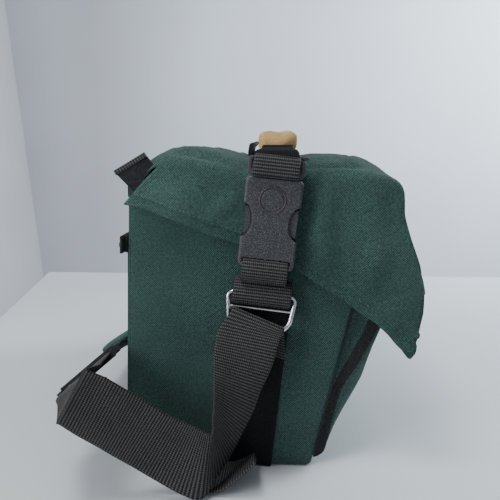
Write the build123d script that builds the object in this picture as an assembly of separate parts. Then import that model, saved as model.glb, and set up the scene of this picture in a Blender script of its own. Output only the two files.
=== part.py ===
from build123d import *
import math
import os

# Soft camera bag: padded box body, hooded lid with a front flap and end wings, a pocket on
# the front and one on the back, a carry handle clipped on with two side-release buckles, and
# a 50 mm webbing shoulder strap hung from two D-rings.
# +Z is up, X runs along the bag, the front faces -Y, the origin is under the base.

# ---- driving dimensions, millimetres ----
half_length = 175.0          # outer face of each end panel
base_half_depth = 81.5       # base from front to back, halved
rim_height = 250.0           # top of the walls, under the lid
front_lean = 0.2287          # how far the front wall moves forward for each mm of height
back_lean = 0.04             # how far the back wall moves forward for each mm of height
skin = 2.0                   # outer fabric with its backing
foam = 8.0                   # closed-cell foam with its lining
clear = 0.3                  # gap between pieces that move past each other

lid_height = 262.0           # top edge of the lid all round
lid_crown = 274.0            # top of the lid in its middle
lid_gap = 0.6                # between the walls and the lid
wing_inner = half_length + 0.7
wing_thick = 2.0
flap_thick = 3.0

band_lean = 0.108            # the webbing and buckles lean forward as they rise
band_foot_y = -21.5          # middle of the load webbing at the base
load_width = 50.0
buckle_web_width = 37.0
web_thick = 1.8

ring_height = 157.0          # middle of the D-ring's straight bar
ring_wire = 2.0              # radius
ring_out = 183.0             # bar's distance from the bag's middle
ring_tilt = 15.0             # the hanging ring stands out from the panel by this angle

buckle_bottom = 180.0
buckle_top = 253.0
buckle_width = 46.0
buckle_depth = 12.0
buckle_inner = 179.4         # back face of the buckle
male_top = 268.0

strap_width = 50.0
strap_thick = 1.8
pad_width = 64.0
pad_thick = 10.0

patch_thick = 1.6            # hook-and-loop strips
patch_gap = 0.2              # between the pocket's face and its loop strip
loop_patch_half = 120.0
hook_patch_half = 115.0


def front_y(z):
    return -base_half_depth - front_lean * z


def back_y(z):
    return base_half_depth - back_lean * z


def band_y(z):
    return band_foot_y - band_lean * z


def prism(outline, x_start, x_end):
    """Outline in (y, z), pushed along X from x_start to x_end."""
    face = Face(Wire.make_polygon([(x_start, y, z) for y, z in outline]))
    return Solid.extrude(face, Vector(x_end - x_start, 0, 0))


def block(x_range, y_range, z_range):
    corner = [sum(r) / 2 for r in (x_range, y_range, z_range)]
    sides = [abs(r[1] - r[0]) for r in (x_range, y_range, z_range)]
    return Pos(*corner) * Box(*sides)


def mirrored(shape):
    return shape.mirror(Plane.YZ)


# ---- the leaning frame that the webbing, rings and buckles share ----
lean_angle = math.degrees(math.atan(band_lean))


def on_band(z, out):
    """Place on the left end: local X across to the front, Y up the webbing, Z outwards."""
    up = Vector(0, -band_lean, 1).normalized()
    outward = Vector(-1, 0, 0)
    across = up.cross(outward)
    return Location(Plane(origin=(-out, band_y(z), z), x_dir=across, z_dir=outward))


# ---- body walls ----
def wall_outline(inner, outer):
    """The wall between two depths behind the front or back face, as (y, z) corners."""
    low = skin + foam
    return [(outer(low), low), (inner(low), low), (inner(rim_height), rim_height),
            (outer(rim_height), rim_height)]


def body_parts():
    end_outline = [(front_y(0), 0), (back_y(0), 0), (back_y(rim_height), rim_height),
                   (front_y(rim_height), rim_height)]
    inner_half = half_length - skin
    foam_half = inner_half - foam
    parts = {}
    parts["base_panel"] = block((-inner_half, inner_half),
                                (front_y(0), back_y(0)), (0, skin))
    parts["base_foam"] = block((-inner_half, inner_half),
                               (front_y(0) + skin, back_y(skin + foam) - skin),
                               (skin, skin + foam))
    parts["left_end_panel"] = prism(end_outline, -half_length, -inner_half)
    low = skin + foam
    foam_outline = [(front_y(low) + skin + foam, low), (back_y(low) - skin - foam, low),
                    (back_y(rim_height) - skin - foam, rim_height),
                    (front_y(rim_height) + skin + foam, rim_height)]
    parts["left_end_foam"] = prism(foam_outline, -inner_half, -foam_half)
    for name in ("end_panel", "end_foam"):
        parts["right_" + name] = mirrored(parts["left_" + name])
    front_skin = [(front_y(skin), skin), (front_y(skin) + skin, skin),
                  (front_y(rim_height) + skin, rim_height), (front_y(rim_height), rim_height)]
    back_skin = [(back_y(skin), skin), (back_y(skin) - skin, skin),
                 (back_y(rim_height) - skin, rim_height), (back_y(rim_height), rim_height)]
    parts["front_panel"] = prism(front_skin, -inner_half, inner_half)
    parts["back_panel"] = prism(back_skin, -inner_half, inner_half)
    parts["front_foam"] = prism(wall_outline(lambda z: front_y(z) + skin + foam,
                                             lambda z: front_y(z) + skin),
                                -inner_half, inner_half)
    parts["back_foam"] = prism(wall_outline(lambda z: back_y(z) - skin - foam,
                                            lambda z: back_y(z) - skin),
                               -inner_half, inner_half)
    return parts


# ---- padded dividers, held by hook-and-loop and moved along the bag ----
divider_places = {"left_divider": -62.0, "right_divider": 58.0}
divider_thick = 9.0
divider_top = 225.0


def divider(x_middle):
    gap = skin + foam + clear
    low = skin + foam + clear
    outline = [(front_y(low) + gap, low), (back_y(low) - gap, low),
               (back_y(divider_top) - gap, divider_top), (front_y(divider_top) + gap, divider_top)]
    return prism(outline, x_middle - divider_thick / 2, x_middle + divider_thick / 2)


# ---- zipper slider and pull, lying on a tape that faces along `out` ----
slider_length = 11.0
slider_width = 8.0
slider_depth = 3.4
pull_length = 22.0
pull_width = 6.0
pull_thick = 1.4
pin_radius = 0.8
pin_x = 2.5
ear_height = 3.9
pin_height = slider_depth + 2.3


def slider_solid():
    """Along X, its back on the local plane Z = 0, with a pin across two ears."""
    body = Pos(0, 0, slider_depth / 2) * Box(slider_length, slider_width, slider_depth)
    body = fillet(body.edges().filter_by(Axis.Z), 2.0)
    ear_gap = pull_width + 0.8
    for side in (-1, 1):
        ear = Box(3.2, 1.4, ear_height)
        body += Pos(pin_x, side * (ear_gap / 2 + 0.7), slider_depth + ear_height / 2 - 0.2) * ear
    pin = Cylinder(pin_radius, ear_gap + 2.4, rotation=(90, 0, 0))
    return body + Pos(pin_x, 0, pin_height) * pin


def pull_solid():
    """Flat tab that lies along -X from the pin, with a hole for the pin."""
    tab = Pos(-pull_length / 2 + 1.8, 0, 0) * Box(pull_length, pull_width, pull_thick)
    eye = Cylinder(2.0, pull_width, rotation=(90, 0, 0))
    hole = Cylinder(pin_radius + 0.06, pull_width + 4, rotation=(90, 0, 0))
    window = Pos(-pull_length + 7, 0, 0) * Box(6.0, 2.6, 4.0)
    return Pos(pin_x, 0, pin_height) * (tab + eye - hole - window)


# ---- rear pocket: a flat slip pocket closed by a zipper along its top ----
rear_low = 14.0
rear_high = 190.0
rear_gap = 5.2
rear_skin = 1.4
rear_half = 172.0
rear_tape_height = 14.0
rear_slider_x = 120.0


def behind(z, distance):
    return back_y(z) + distance


def rear_strip(z_low, z_high, near, far, half):
    outline = [(behind(z_low, near), z_low), (behind(z_low, far), z_low),
               (behind(z_high, far), z_high), (behind(z_high, near), z_high)]
    return prism(outline, -half, half)


def rear_pocket_parts():
    outer = rear_gap + rear_skin
    side_outline = [(behind(rear_low, 0), rear_low), (behind(rear_low, rear_gap), rear_low),
                    (behind(rear_high, rear_gap), rear_high), (behind(rear_high, 0), rear_high)]
    left_edge = prism(side_outline, -rear_half, -rear_half + rear_skin)
    floor = rear_strip(rear_low - rear_skin, rear_low, 0, outer, rear_half)
    tape_low = rear_high
    tape_high = rear_high + rear_tape_height
    parts = {}
    parts["rear_pocket_panel"] = rear_strip(rear_low, rear_high, rear_gap, outer, rear_half)
    parts["rear_pocket_edges"] = Compound([left_edge, mirrored(left_edge), floor])
    parts["rear_zip_tape"] = rear_strip(tape_low, tape_high, rear_gap - 2.0, outer, rear_half)
    parts["rear_pocket_roof"] = rear_strip(tape_high, tape_high + rear_skin, 0, outer, rear_half)
    return parts


def on_rear_zip():
    middle = rear_high + rear_tape_height / 2
    outward = Vector(0, 1, back_lean).normalized()
    origin = (rear_slider_x, behind(middle, rear_gap + rear_skin + clear), middle)
    return Location(Plane(origin=origin, x_dir=(1, 0, 0), z_dir=outward))


# ---- front pocket: a gusset, a zipper round its top and sides, and a bulging face ----
# height, depth of the gusset, depth of the pouch in front of the front wall
pouch_levels = [(8.0, 3.0, 9.6), (75.0, 13.0, 33.0), (130.0, 20.0, 36.0), (165.0, 23.0, 32.0)]
pouch_half = 168.0
pouch_skin = 2.0
zip_width = 4.0
front_slider_x = 96.0
seam_gap = 0.6                # a flat cap stays this far from a leaning wall


def pouch_outline(near, far):
    """Side outline between two depths, each a function of a pouch level."""
    outline = [(front_y(level[0]) - near(level), level[0]) for level in pouch_levels]
    outline += [(front_y(level[0]) - far(level), level[0]) for level in reversed(pouch_levels)]
    return outline


def pouch_sides(near, far, half, thick):
    left_side = prism(pouch_outline(near, far), -half, -half + thick)
    return Compound([left_side, mirrored(left_side)])


def pouch_cap(level, near, far, z_low, z_high):
    base_y = front_y(level[0])
    inset = pouch_half - pouch_skin
    return block((-inset, inset), (base_y - near, base_y - far), (z_low, z_high))


def front_pocket_parts():
    bottom = pouch_levels[0]
    top = pouch_levels[-1]
    gusset = lambda level: level[1]
    zip_edge = lambda level: level[1] + zip_width
    face_back = lambda level: level[2] - pouch_skin
    parts = {}
    parts["front_pocket_gussets"] = pouch_sides(lambda level: 0.0, gusset, pouch_half, pouch_skin)
    tape_sides = pouch_sides(gusset, zip_edge, pouch_half, pouch_skin)
    tape_top = pouch_cap(top, top[1], top[1] + zip_width, top[0] - pouch_skin, top[0])
    parts["front_zip_tape"] = Compound([tape_sides, tape_top])
    parts["front_pocket_roof"] = pouch_cap(top, seam_gap, top[1], top[0] - pouch_skin, top[0])
    lip_front = face_back(top) - seam_gap
    roof_lip = pouch_cap(top, top[1] + zip_width, lip_front, top[0] - pouch_skin, top[0])
    cheeks = pouch_sides(zip_edge, face_back, pouch_half, pouch_skin)
    parts["front_pocket_cheeks"] = Compound([cheeks, roof_lip])
    parts["front_pocket_floor"] = pouch_cap(bottom, seam_gap, face_back(bottom) - seam_gap,
                                            bottom[0], bottom[0] + pouch_skin)
    face = pouch_outline(face_back, lambda level: level[2])
    parts["front_pocket_face"] = prism(face, -pouch_half, pouch_half)
    patch = [(front_y(z) - depth - extra, z) for z, depth, extra in
             ((100.0, 34.4, patch_gap), (125.0, 35.8, patch_gap),
              (125.0, 35.8, patch_gap + patch_thick), (100.0, 34.4, patch_gap + patch_thick))]
    parts["front_loop_patch"] = prism(patch, -loop_patch_half, loop_patch_half)
    return parts


def on_front_zip():
    top = pouch_levels[-1]
    origin = (front_slider_x, front_y(top[0]) - top[1] - zip_width / 2, top[0] + clear)
    return Location(Plane(origin=origin, x_dir=(1, 0, 0), z_dir=(0, 0, 1)))


# ---- lid: top pad, front flap, end wings, rear corner tabs ----
lid_back_y = 68.5
lid_front_y = -153.5
crown_margin = 62.0
flap_profile = [(-153.5, 262.0), (-154.5, 236.0), (-156.0, 208.0), (-166.0, 180.0),
                (-173.0, 160.0), (-171.0, 130.0), (-163.5, 98.5)]
wing_hem = [(68.5, 230.0), (47.5, 226.0), (20.5, 213.0), (-18.5, 197.0), (-70.5, 174.0),
            (-113.5, 147.0), (-127.5, 135.0), (-144.5, 122.0), (-159.5, 100.0)]
lid_half = wing_inner + wing_thick


def lid_top():
    """Pad with a flat underside, upright edges and a raised middle."""
    low = rim_height + lid_gap
    depth = lid_front_y - lid_back_y
    middle_y = (lid_front_y + lid_back_y) / 2
    edge = block((-lid_half, lid_half), (lid_back_y, lid_front_y), (low, lid_height))
    lower = Pos(0, middle_y, lid_height) * Rectangle(2 * lid_half, abs(depth))
    upper = Pos(0, middle_y, lid_crown) * Rectangle(2 * (lid_half - crown_margin),
                                                   abs(depth) - crown_margin)
    return edge + loft([lower, upper])


def lid_flap():
    inner = [(y + flap_thick, z) for y, z in flap_profile]
    inner[0] = (flap_profile[0][0], rim_height + lid_gap)
    inner.insert(1, (flap_profile[0][0] + flap_thick, rim_height + lid_gap))
    outer = list(reversed(flap_profile))
    outer = [(y - flap_thick, z) for y, z in outer]
    return prism([flap_profile[0]] + inner + outer, -lid_half, lid_half)


def left_wing():
    top = [(flap_profile[0][0] + flap_thick + 0.1, rim_height + lid_gap),
           (lid_back_y, rim_height + lid_gap)]
    front = [(y + flap_thick + 0.4, z) for y, z in reversed(flap_profile[1:-1])]
    return prism(top + wing_hem + front, -wing_inner - wing_thick, -wing_inner)


def left_rear_tab():
    outline = [(68.6, 261.0), (72.0, 263.0), (84.5, 257.0), (70.0, 240.0), (68.6, 240.0)]
    return prism(outline, -wing_inner - wing_thick, -wing_inner - 0.4)


def flap_hook_patch():
    profile = [(flap_profile[5][0] + flap_thick, 130.0), (flap_profile[6][0] + flap_thick, 101.0)]
    (y_high, z_high), (y_low, z_low) = profile
    outline = [(y_high, z_high), (y_low, z_low),
               (y_low + patch_thick, z_low), (y_high + patch_thick, z_high)]
    return prism(outline, -hook_patch_half, hook_patch_half)


# ---- load webbing, D-ring and its loop ----
def left_load_webbing():
    place = on_band(83.5, half_length)
    length = 165.0 / math.cos(math.radians(lean_angle))
    band = place * Pos(0, 0, web_thick / 2) * Box(load_width, length, web_thick)
    above_base = block((-half_length - web_thick, -half_length), (-60, 10), (0.4, 172))
    return band & above_base


def ring_frame():
    """Local X along the bar, Y up the ring, Z outwards, tilted to hang clear of the panel."""
    return on_band(ring_height, ring_out) * Rot(-ring_tilt, 0, 0)


ring_half = 28.0
ring_drop = 37.0
ring_cross = 11.5            # the thin crossbar below the straight bar
cross_radius = 1.1


def ring_path():
    outline = [(-ring_half, 0), (ring_half, 0), (ring_half - 3, -ring_drop * 0.6),
               (0, -ring_drop - 7), (-ring_half + 3, -ring_drop * 0.6)]
    return FilletPolyline(*outline, radius=[4, 4, 13, 16, 13], close=True)


def d_ring_solid():
    start = Plane(origin=(0, 0, 0), x_dir=(0, 1, 0), z_dir=(1, 0, 0))
    wire = sweep(start * Circle(ring_wire), path=ring_path())
    reach = ring_half - 1.6
    bar = Pos(0, -ring_cross, 0) * Cylinder(cross_radius, 2 * reach, rotation=(0, 90, 0))
    return wire + bar


def left_ring_loop():
    """Webbing folded round the straight bar and sewn to the load webbing below it."""
    place = on_band(ring_height, ring_out)
    web = load_width - 4.0
    radius = ring_wire + web_thick + 0.4
    fold = Cylinder(radius, web, rotation=(0, 90, 0))
    back = half_length + web_thick - ring_out
    tongue = Pos(0, 3.5, (back + 1.0) / 2) * Box(web, 2 * radius + 7, 1.0 - back)
    hole = Cylinder(ring_wire + 0.08, web + 2, rotation=(0, 90, 0))
    return place * (fold + tongue - hole)


strap_loop_rise = 15.0


def left_strap_loop():
    """Sewn end of the shoulder strap, folded round the ring's curved side."""
    start = Plane(origin=(0, 0, 0), x_dir=(0, 1, 0), z_dir=(1, 0, 0))
    tunnel = sweep(start * Circle(ring_wire + 0.1), path=ring_path())
    piece = Pos(-6.0, -ring_drop + 1.5, 0) * Box(strap_width, strap_loop_rise, 8.0)
    piece = fillet(piece.edges().filter_by(Axis.X), 3.4)
    return ring_frame() * (piece - tunnel)


# ---- side-release buckles ----
buckle_mid = (buckle_bottom + buckle_top) / 2
buckle_half = (buckle_top - buckle_bottom) / 2 / math.cos(math.radians(lean_angle))
cavity_width = 43.0
cavity_depth = 7.0
cavity_floor = -buckle_half + 15.0
window_middle = 1.5
mark_height = 19.0
web_slot = 3.4


def buckle_female():
    """Hollow body, open at the top, with a rounded window in each side; front face at +Z."""
    body = Pos(0, 0, buckle_depth / 2) * Box(buckle_width, 2 * buckle_half, buckle_depth)
    body = fillet(body.edges().filter_by(Axis.Z), 5.0)
    body = fillet(body.edges().group_by(Axis.Z)[-1], 2.4)
    cavity_length = buckle_half - cavity_floor + 1
    middle = cavity_floor + cavity_length / 2
    cavity = Pos(0, middle, buckle_depth / 2) * Box(cavity_width, cavity_length, cavity_depth)
    body -= cavity
    for side in (-1, 1):
        scoop = extrude(Ellipse(8.6, 13.5), amount=buckle_depth + 2)
        body -= Pos(side * buckle_width / 2, window_middle, -1) * scoop
    slot = Pos(0, -buckle_half + 6.2, buckle_depth / 2)
    body -= slot * Box(buckle_web_width + 1.5, web_slot, buckle_depth + 2)
    ring = extrude(Circle(10.0) - Circle(8.6), amount=1.0)
    body -= Pos(0, mark_height, buckle_depth - 0.6) * ring
    return body


male_width = 45.0
frame_floor = buckle_half + clear
frame_height = (male_top - buckle_top) / math.cos(math.radians(lean_angle)) - clear
prong_thick = cavity_depth - 0.6
prong_outer = cavity_width / 2 - 0.3
hinge_height = frame_floor - 0.4
prong_root = 13.5


def buckle_male():
    """Webbing frame above the female body, with a guide tongue that goes down into it."""
    middle = frame_floor + frame_height / 2
    frame = Pos(0, middle, buckle_depth / 2) * Box(male_width, frame_height, buckle_depth - 2)
    frame = fillet(frame.edges().filter_by(Axis.Z), 3.0)
    slot = Pos(0, middle + 1.2, buckle_depth / 2)
    frame -= slot * Box(buckle_web_width + 0.8, frame_height - 7.0, buckle_depth + 2)
    tongue = Pos(0, frame_floor - 17, buckle_depth / 2) * Box(6.0, 36.0, prong_thick)
    return frame + tongue


def buckle_prong(side):
    """Springy arm with a thumb pad that fills the side window."""
    arm_top = hinge_height - 0.4
    pad_low = window_middle - 12.0
    outline = [(prong_root - 2.4, arm_top), (prong_root + 2.4, arm_top),
               (prong_root + 3.0, window_middle + 12.5), (prong_outer, window_middle + 7.0),
               (prong_outer, window_middle - 6.0), (prong_outer - 3.5, pad_low),
               (prong_root - 3.0, pad_low), (prong_root - 3.0, window_middle + 9.0)]
    face = make_face(Polyline(*[(side * x, y) for x, y in outline], close=True))
    lift = (buckle_depth - prong_thick) / 2
    return Pos(0, 0, lift) * extrude(face, amount=prong_thick, dir=(0, 0, 1))


def left_buckle_place():
    return on_band(buckle_mid, buckle_inner)


def left_buckle_webbing():
    """Webbing from the load webbing up through the female buckle's slot."""
    place = left_buckle_place()
    low = -buckle_half - 9.5
    width = buckle_web_width
    back = half_length + web_thick - buckle_inner
    stem = Pos(0, low + 4.5, (back + buckle_depth - 3) / 2)
    stem = stem * Box(width, 9.0, buckle_depth - 3 - back)
    through = Pos(0, -buckle_half + 2.6, buckle_depth + 0.95) * Box(width, 10.6, 1.3)
    into = Pos(0, -buckle_half + 6.2, buckle_depth / 2 + 2) * Box(width, 2.4, buckle_depth + 0.4)
    lip = Pos(0, low + 6.6, buckle_depth - 1.4) * Box(width, 4.8, 6.0)
    body = stem + through + into + lip
    return place * body


# ---- carry handle, unclipped and lifted off as one piece ----
slot_height = 261.6          # middle of the male frame's slot
handle_low = 271.2
handle_shoulder = 279.5
grip_low = 283.0
grip_high = 296.5
grip_half = 60.0
grip_width = 38.0


def handle_webbing():
    """One length of webbing over the lid, from buckle to buckle, under the grip."""
    thick = 2.4
    outer = buckle_inner + buckle_depth + 0.6
    half = [(outer - 8, slot_height), (outer, slot_height), (outer, handle_low),
            (outer - 12, handle_low + 4.5), (112.0, handle_shoulder),
            (grip_half + 6, grip_low + 1.6)]
    centre = [(-x, z) for x, z in half] + list(reversed(half))
    section = trace(Polyline(*centre), line_width=thick)
    middle = band_y(slot_height)
    face = Plane.XZ * section
    strip = extrude(face, amount=buckle_web_width / 2, both=True)
    return Pos(0, middle, 0) * strip


def handle_grip():
    """Leather wrapped round the webbing: a crowned bar with a tunnel through it."""
    body = block((-grip_half, grip_half), (-grip_width / 2, grip_width / 2),
                 (grip_low - 1.5, grip_high))
    body = fillet(body.edges().filter_by(Axis.X), 5.5)
    tunnel = block((-grip_half - 1, grip_half + 1),
                   (-buckle_web_width / 2 - 0.2, buckle_web_width / 2 + 0.2),
                   (grip_low + 0.3, grip_low + 2.9))
    return Pos(0, band_y(slot_height), 0) * (body - tunnel)


# ---- shoulder strap ----
# each row: middle of the strap, then the direction across it, from its inner to its outer edge
left_route = [
    (-196.0, -28.0, 112.0, 0.00, -1.00, 0.00),
    (-201.0, -23.5, 95.0, 0.15, -0.98, -0.08),
    (-208.0, -17.5, 72.0, 0.60, -0.77, -0.18),
    (-217.0, -9.0, 46.0, 0.44, -0.31, -0.84),
    (-227.5, 1.5, 31.0, -0.04, 0.11, -0.99),
    (-226.0, 23.5, 36.0, 0.00, 0.40, -0.92),
    (-226.0, 43.5, 45.0, 0.06, 0.52, -0.86),
    (-238.0, 69.5, 69.5, 0.00, 0.56, -0.82),
    (-248.0, 92.5, 93.5, 0.00, 0.64, -0.76),
    (-250.5, 97.5, 97.5, 0.00, 0.64, -0.76),
    (-247.0, 100.5, 98.5, 0.00, 0.64, -0.76),
    (-224.0, 103.0, 96.0, 0.00, 0.76, -0.65),
    (-150.0, 111.0, 85.0, 0.00, 0.76, -0.65),
    (-104.0, 114.0, 75.0, 0.00, 0.86, -0.51),
]
middle_route = [
    (-103.4, 114.0, 75.0, 0.00, 0.86, -0.51),
    (-40.0, 117.0, 62.0, 0.00, 0.84, -0.54),
    (30.0, 117.0, 51.0, 0.00, 0.82, -0.57),
    (130.0, 117.0, 42.0, 0.00, 0.80, -0.60),
]
right_route = [
    (130.6, 117.0, 42.0, 0.00, 0.80, -0.60),
    (165.0, 115.0, 39.0, 0.05, 0.66, -0.75),
    (196.0, 102.0, 35.0, 0.08, 0.40, -0.91),
    (217.0, 78.0, 32.0, 0.08, 0.16, -0.98),
    (227.0, 42.0, 31.0, 0.04, 0.08, -0.99),
    (227.5, 1.5, 31.0, 0.04, 0.11, -0.99),
    (217.0, -9.0, 46.0, -0.44, -0.31, -0.84),
    (208.0, -17.5, 72.0, -0.60, -0.77, -0.18),
    (201.0, -23.5, 95.0, -0.15, -0.98, -0.08),
    (196.0, -28.0, 112.0, 0.00, -1.00, 0.00),
]
tail_route = [
    (-181.0, 98.0, 82.0, 0.00, 0.80, -0.60),
    (-205.0, 95.0, 84.0, 0.00, 0.74, -0.67),
    (-236.0, 92.0, 88.0, 0.00, 0.66, -0.75),
    (-241.5, 88.0, 86.5, 0.00, 0.62, -0.78),
    (-232.0, 68.0, 66.0, 0.00, 0.56, -0.82),
    (-219.5, 44.0, 43.0, 0.06, 0.50, -0.86),
    (-219.0, 24.0, 35.0, 0.00, 0.36, -0.93),
    (-218.0, 6.0, 31.0, 0.10, 0.02, -0.99),
    (-209.0, -12.0, 30.5, 0.62, -0.16, -0.77),
    (-204.0, -28.0, 31.0, 0.70, -0.22, -0.68),
]


def ribbon(route, width, thick):
    """Closed band of flat triangles, centred on the route, width across and thick through."""
    stations = []
    for index, row in enumerate(route):
        centre = Vector(*row[:3])
        ahead = Vector(*route[min(index + 1, len(route) - 1)][:3])
        behind_it = Vector(*route[max(index - 1, 0)][:3])
        along = (ahead - behind_it).normalized()
        across = Vector(*row[3:]).normalized()
        out = along.cross(across).normalized() * (thick / 2)
        side = across * (width / 2)
        stations.append([centre - side - out, centre + side - out,
                         centre + side + out, centre - side + out])
    triangles = []
    for first, second in zip(stations, stations[1:]):
        for corner in range(4):
            follow = (corner + 1) % 4
            triangles.append((first[corner], first[follow], second[follow]))
            triangles.append((first[corner], second[follow], second[corner]))
    for end in (stations[0], stations[-1]):
        triangles.append((end[0], end[1], end[2]))
        triangles.append((end[0], end[2], end[3]))
    faces = [Face(Wire.make_polygon(list(triangle))) for triangle in triangles]
    return Solid(Shell(faces))


def route_length(route):
    points = [Vector(*row[:3]) for row in route]
    return sum((b - a).length for a, b in zip(points, points[1:]))


def shoulder_pad():
    """Padded sleeve on the outer side of the strap's middle stretch."""
    offset = strap_thick / 2 + pad_thick / 2 + 1.3
    lifted = []
    for row in middle_route:
        across = Vector(*row[3:]).normalized()
        out = Vector(1, 0, 0).cross(across).normalized() * offset
        lifted.append((row[0], row[1] + out.Y, row[2] + out.Z) + row[3:])
    return ribbon(lifted, pad_width, pad_thick)


# ---- strap adjuster: a flat frame whose middle bar lies over the strap, side bars under it ----
adjuster_x = -190.0
bar_thick = 2.6


def adjuster_frame():
    first, second = [Vector(*row[:3]) for row in (left_route[-2], left_route[-3])]
    share = (adjuster_x - first.X) / (second.X - first.X)
    centre = first + (second - first) * share
    along = (first - second).normalized()
    across = Vector(*left_route[-2][3:]).normalized()
    out = along.cross(across).normalized()
    return Location(Plane(origin=centre, x_dir=along, z_dir=out))


def strap_adjuster():
    half_frame = strap_width / 2 + 1.2
    rail_gap = half_frame + 1.7
    rails = [Pos(0, side * rail_gap, 0) * Box(24.0, 3.0, 5.2) for side in (-1, 1)]
    bar_height = strap_thick / 2 + 0.8 + bar_thick / 2
    bars = [Pos(0, 0, bar_height) * Box(5.0, 2 * rail_gap, bar_thick)]
    bars += [Pos(x, 0, -bar_height) * Box(4.0, 2 * rail_gap, bar_thick) for x in (-10, 10)]
    frame = rails[0]
    for piece in rails[1:] + bars:
        frame += piece
    return adjuster_frame() * frame


def all_parts():
    parts = body_parts()
    for name, x_middle in divider_places.items():
        parts[name] = divider(x_middle)
    parts.update(rear_pocket_parts())
    parts["rear_zip_slider"] = on_rear_zip() * slider_solid()
    parts["rear_zip_pull"] = on_rear_zip() * pull_solid()
    parts.update(front_pocket_parts())
    parts["front_zip_slider"] = on_front_zip() * slider_solid()
    parts["front_zip_pull"] = on_front_zip() * pull_solid()
    parts["lid_top"] = lid_top()
    parts["lid_flap"] = lid_flap()
    parts["flap_hook_patch"] = flap_hook_patch()
    place = left_buckle_place()
    left_parts = {
        "wing": left_wing(),
        "rear_tab": left_rear_tab(),
        "load_webbing": left_load_webbing(),
        "ring_loop": left_ring_loop(),
        "d_ring": ring_frame() * d_ring_solid(),
        "strap_loop": left_strap_loop(),
        "buckle_webbing": left_buckle_webbing(),
        "buckle_female": place * buckle_female(),
        "buckle_male": place * buckle_male(),
        "prong_front": place * buckle_prong(1),
        "prong_back": place * buckle_prong(-1),
    }
    for name, shape in left_parts.items():
        parts["left_" + name] = shape
        parts["right_" + name] = mirrored(shape)
    parts["handle_webbing"] = handle_webbing()
    parts["handle_grip"] = handle_grip()
    parts["strap_left"] = ribbon(left_route, strap_width, strap_thick)
    parts["strap_middle"] = ribbon(middle_route, strap_width, strap_thick)
    parts["strap_right"] = ribbon(right_route, strap_width, strap_thick)
    parts["strap_tail"] = ribbon(tail_route, strap_width, strap_thick)
    parts["shoulder_pad"] = shoulder_pad()
    parts["strap_adjuster"] = strap_adjuster()
    return parts


def main():
    os.makedirs("parts", exist_ok=True)
    parts = all_parts()
    for name, shape in parts.items():
        export_step(shape, f"parts/{name}.step")
    strap_total = sum(route_length(r) for r in (left_route, middle_route, right_route))
    print(len(parts), "parts; strap", round(strap_total), "tail", round(route_length(tail_route)))


main()
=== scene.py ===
import math
import bmesh
import bpy
import numpy as np
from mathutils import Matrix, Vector, noise


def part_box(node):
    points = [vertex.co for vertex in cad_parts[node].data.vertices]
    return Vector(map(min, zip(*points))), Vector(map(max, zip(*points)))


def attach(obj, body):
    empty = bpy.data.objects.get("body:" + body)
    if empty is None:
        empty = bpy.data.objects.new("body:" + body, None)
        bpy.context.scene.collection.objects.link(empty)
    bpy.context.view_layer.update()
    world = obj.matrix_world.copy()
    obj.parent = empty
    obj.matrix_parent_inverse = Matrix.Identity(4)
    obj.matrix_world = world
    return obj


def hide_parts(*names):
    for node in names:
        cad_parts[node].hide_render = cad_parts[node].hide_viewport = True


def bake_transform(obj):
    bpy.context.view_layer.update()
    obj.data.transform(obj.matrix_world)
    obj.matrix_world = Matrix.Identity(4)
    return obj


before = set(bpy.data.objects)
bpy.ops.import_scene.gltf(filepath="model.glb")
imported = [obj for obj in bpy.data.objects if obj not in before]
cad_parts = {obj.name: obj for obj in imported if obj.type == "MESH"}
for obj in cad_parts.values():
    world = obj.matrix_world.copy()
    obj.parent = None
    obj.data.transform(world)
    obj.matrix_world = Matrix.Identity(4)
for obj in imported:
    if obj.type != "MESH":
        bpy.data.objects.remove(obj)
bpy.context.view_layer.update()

# ---- sizes in metres; the walls' and the lid's come from model.glb's parts ----
base_low, base_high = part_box("base_panel")
end_low, end_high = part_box("left_end_panel")
back_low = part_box("back_panel")[0]
lid_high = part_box("lid_top")[1]
half_length = -end_low.x
rim = end_high.z
skin = 0.002
front_lean = (base_low.y - end_low.y) / rim
back_lean = (base_high.y - back_low.y - skin) / rim
band_lean = 0.108
band_foot_y = -0.0215


def front_y(z):
    return base_low.y - front_lean * z


def back_y(z):
    return base_high.y - back_lean * z


def band_y(z):
    return band_foot_y - band_lean * z


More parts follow.
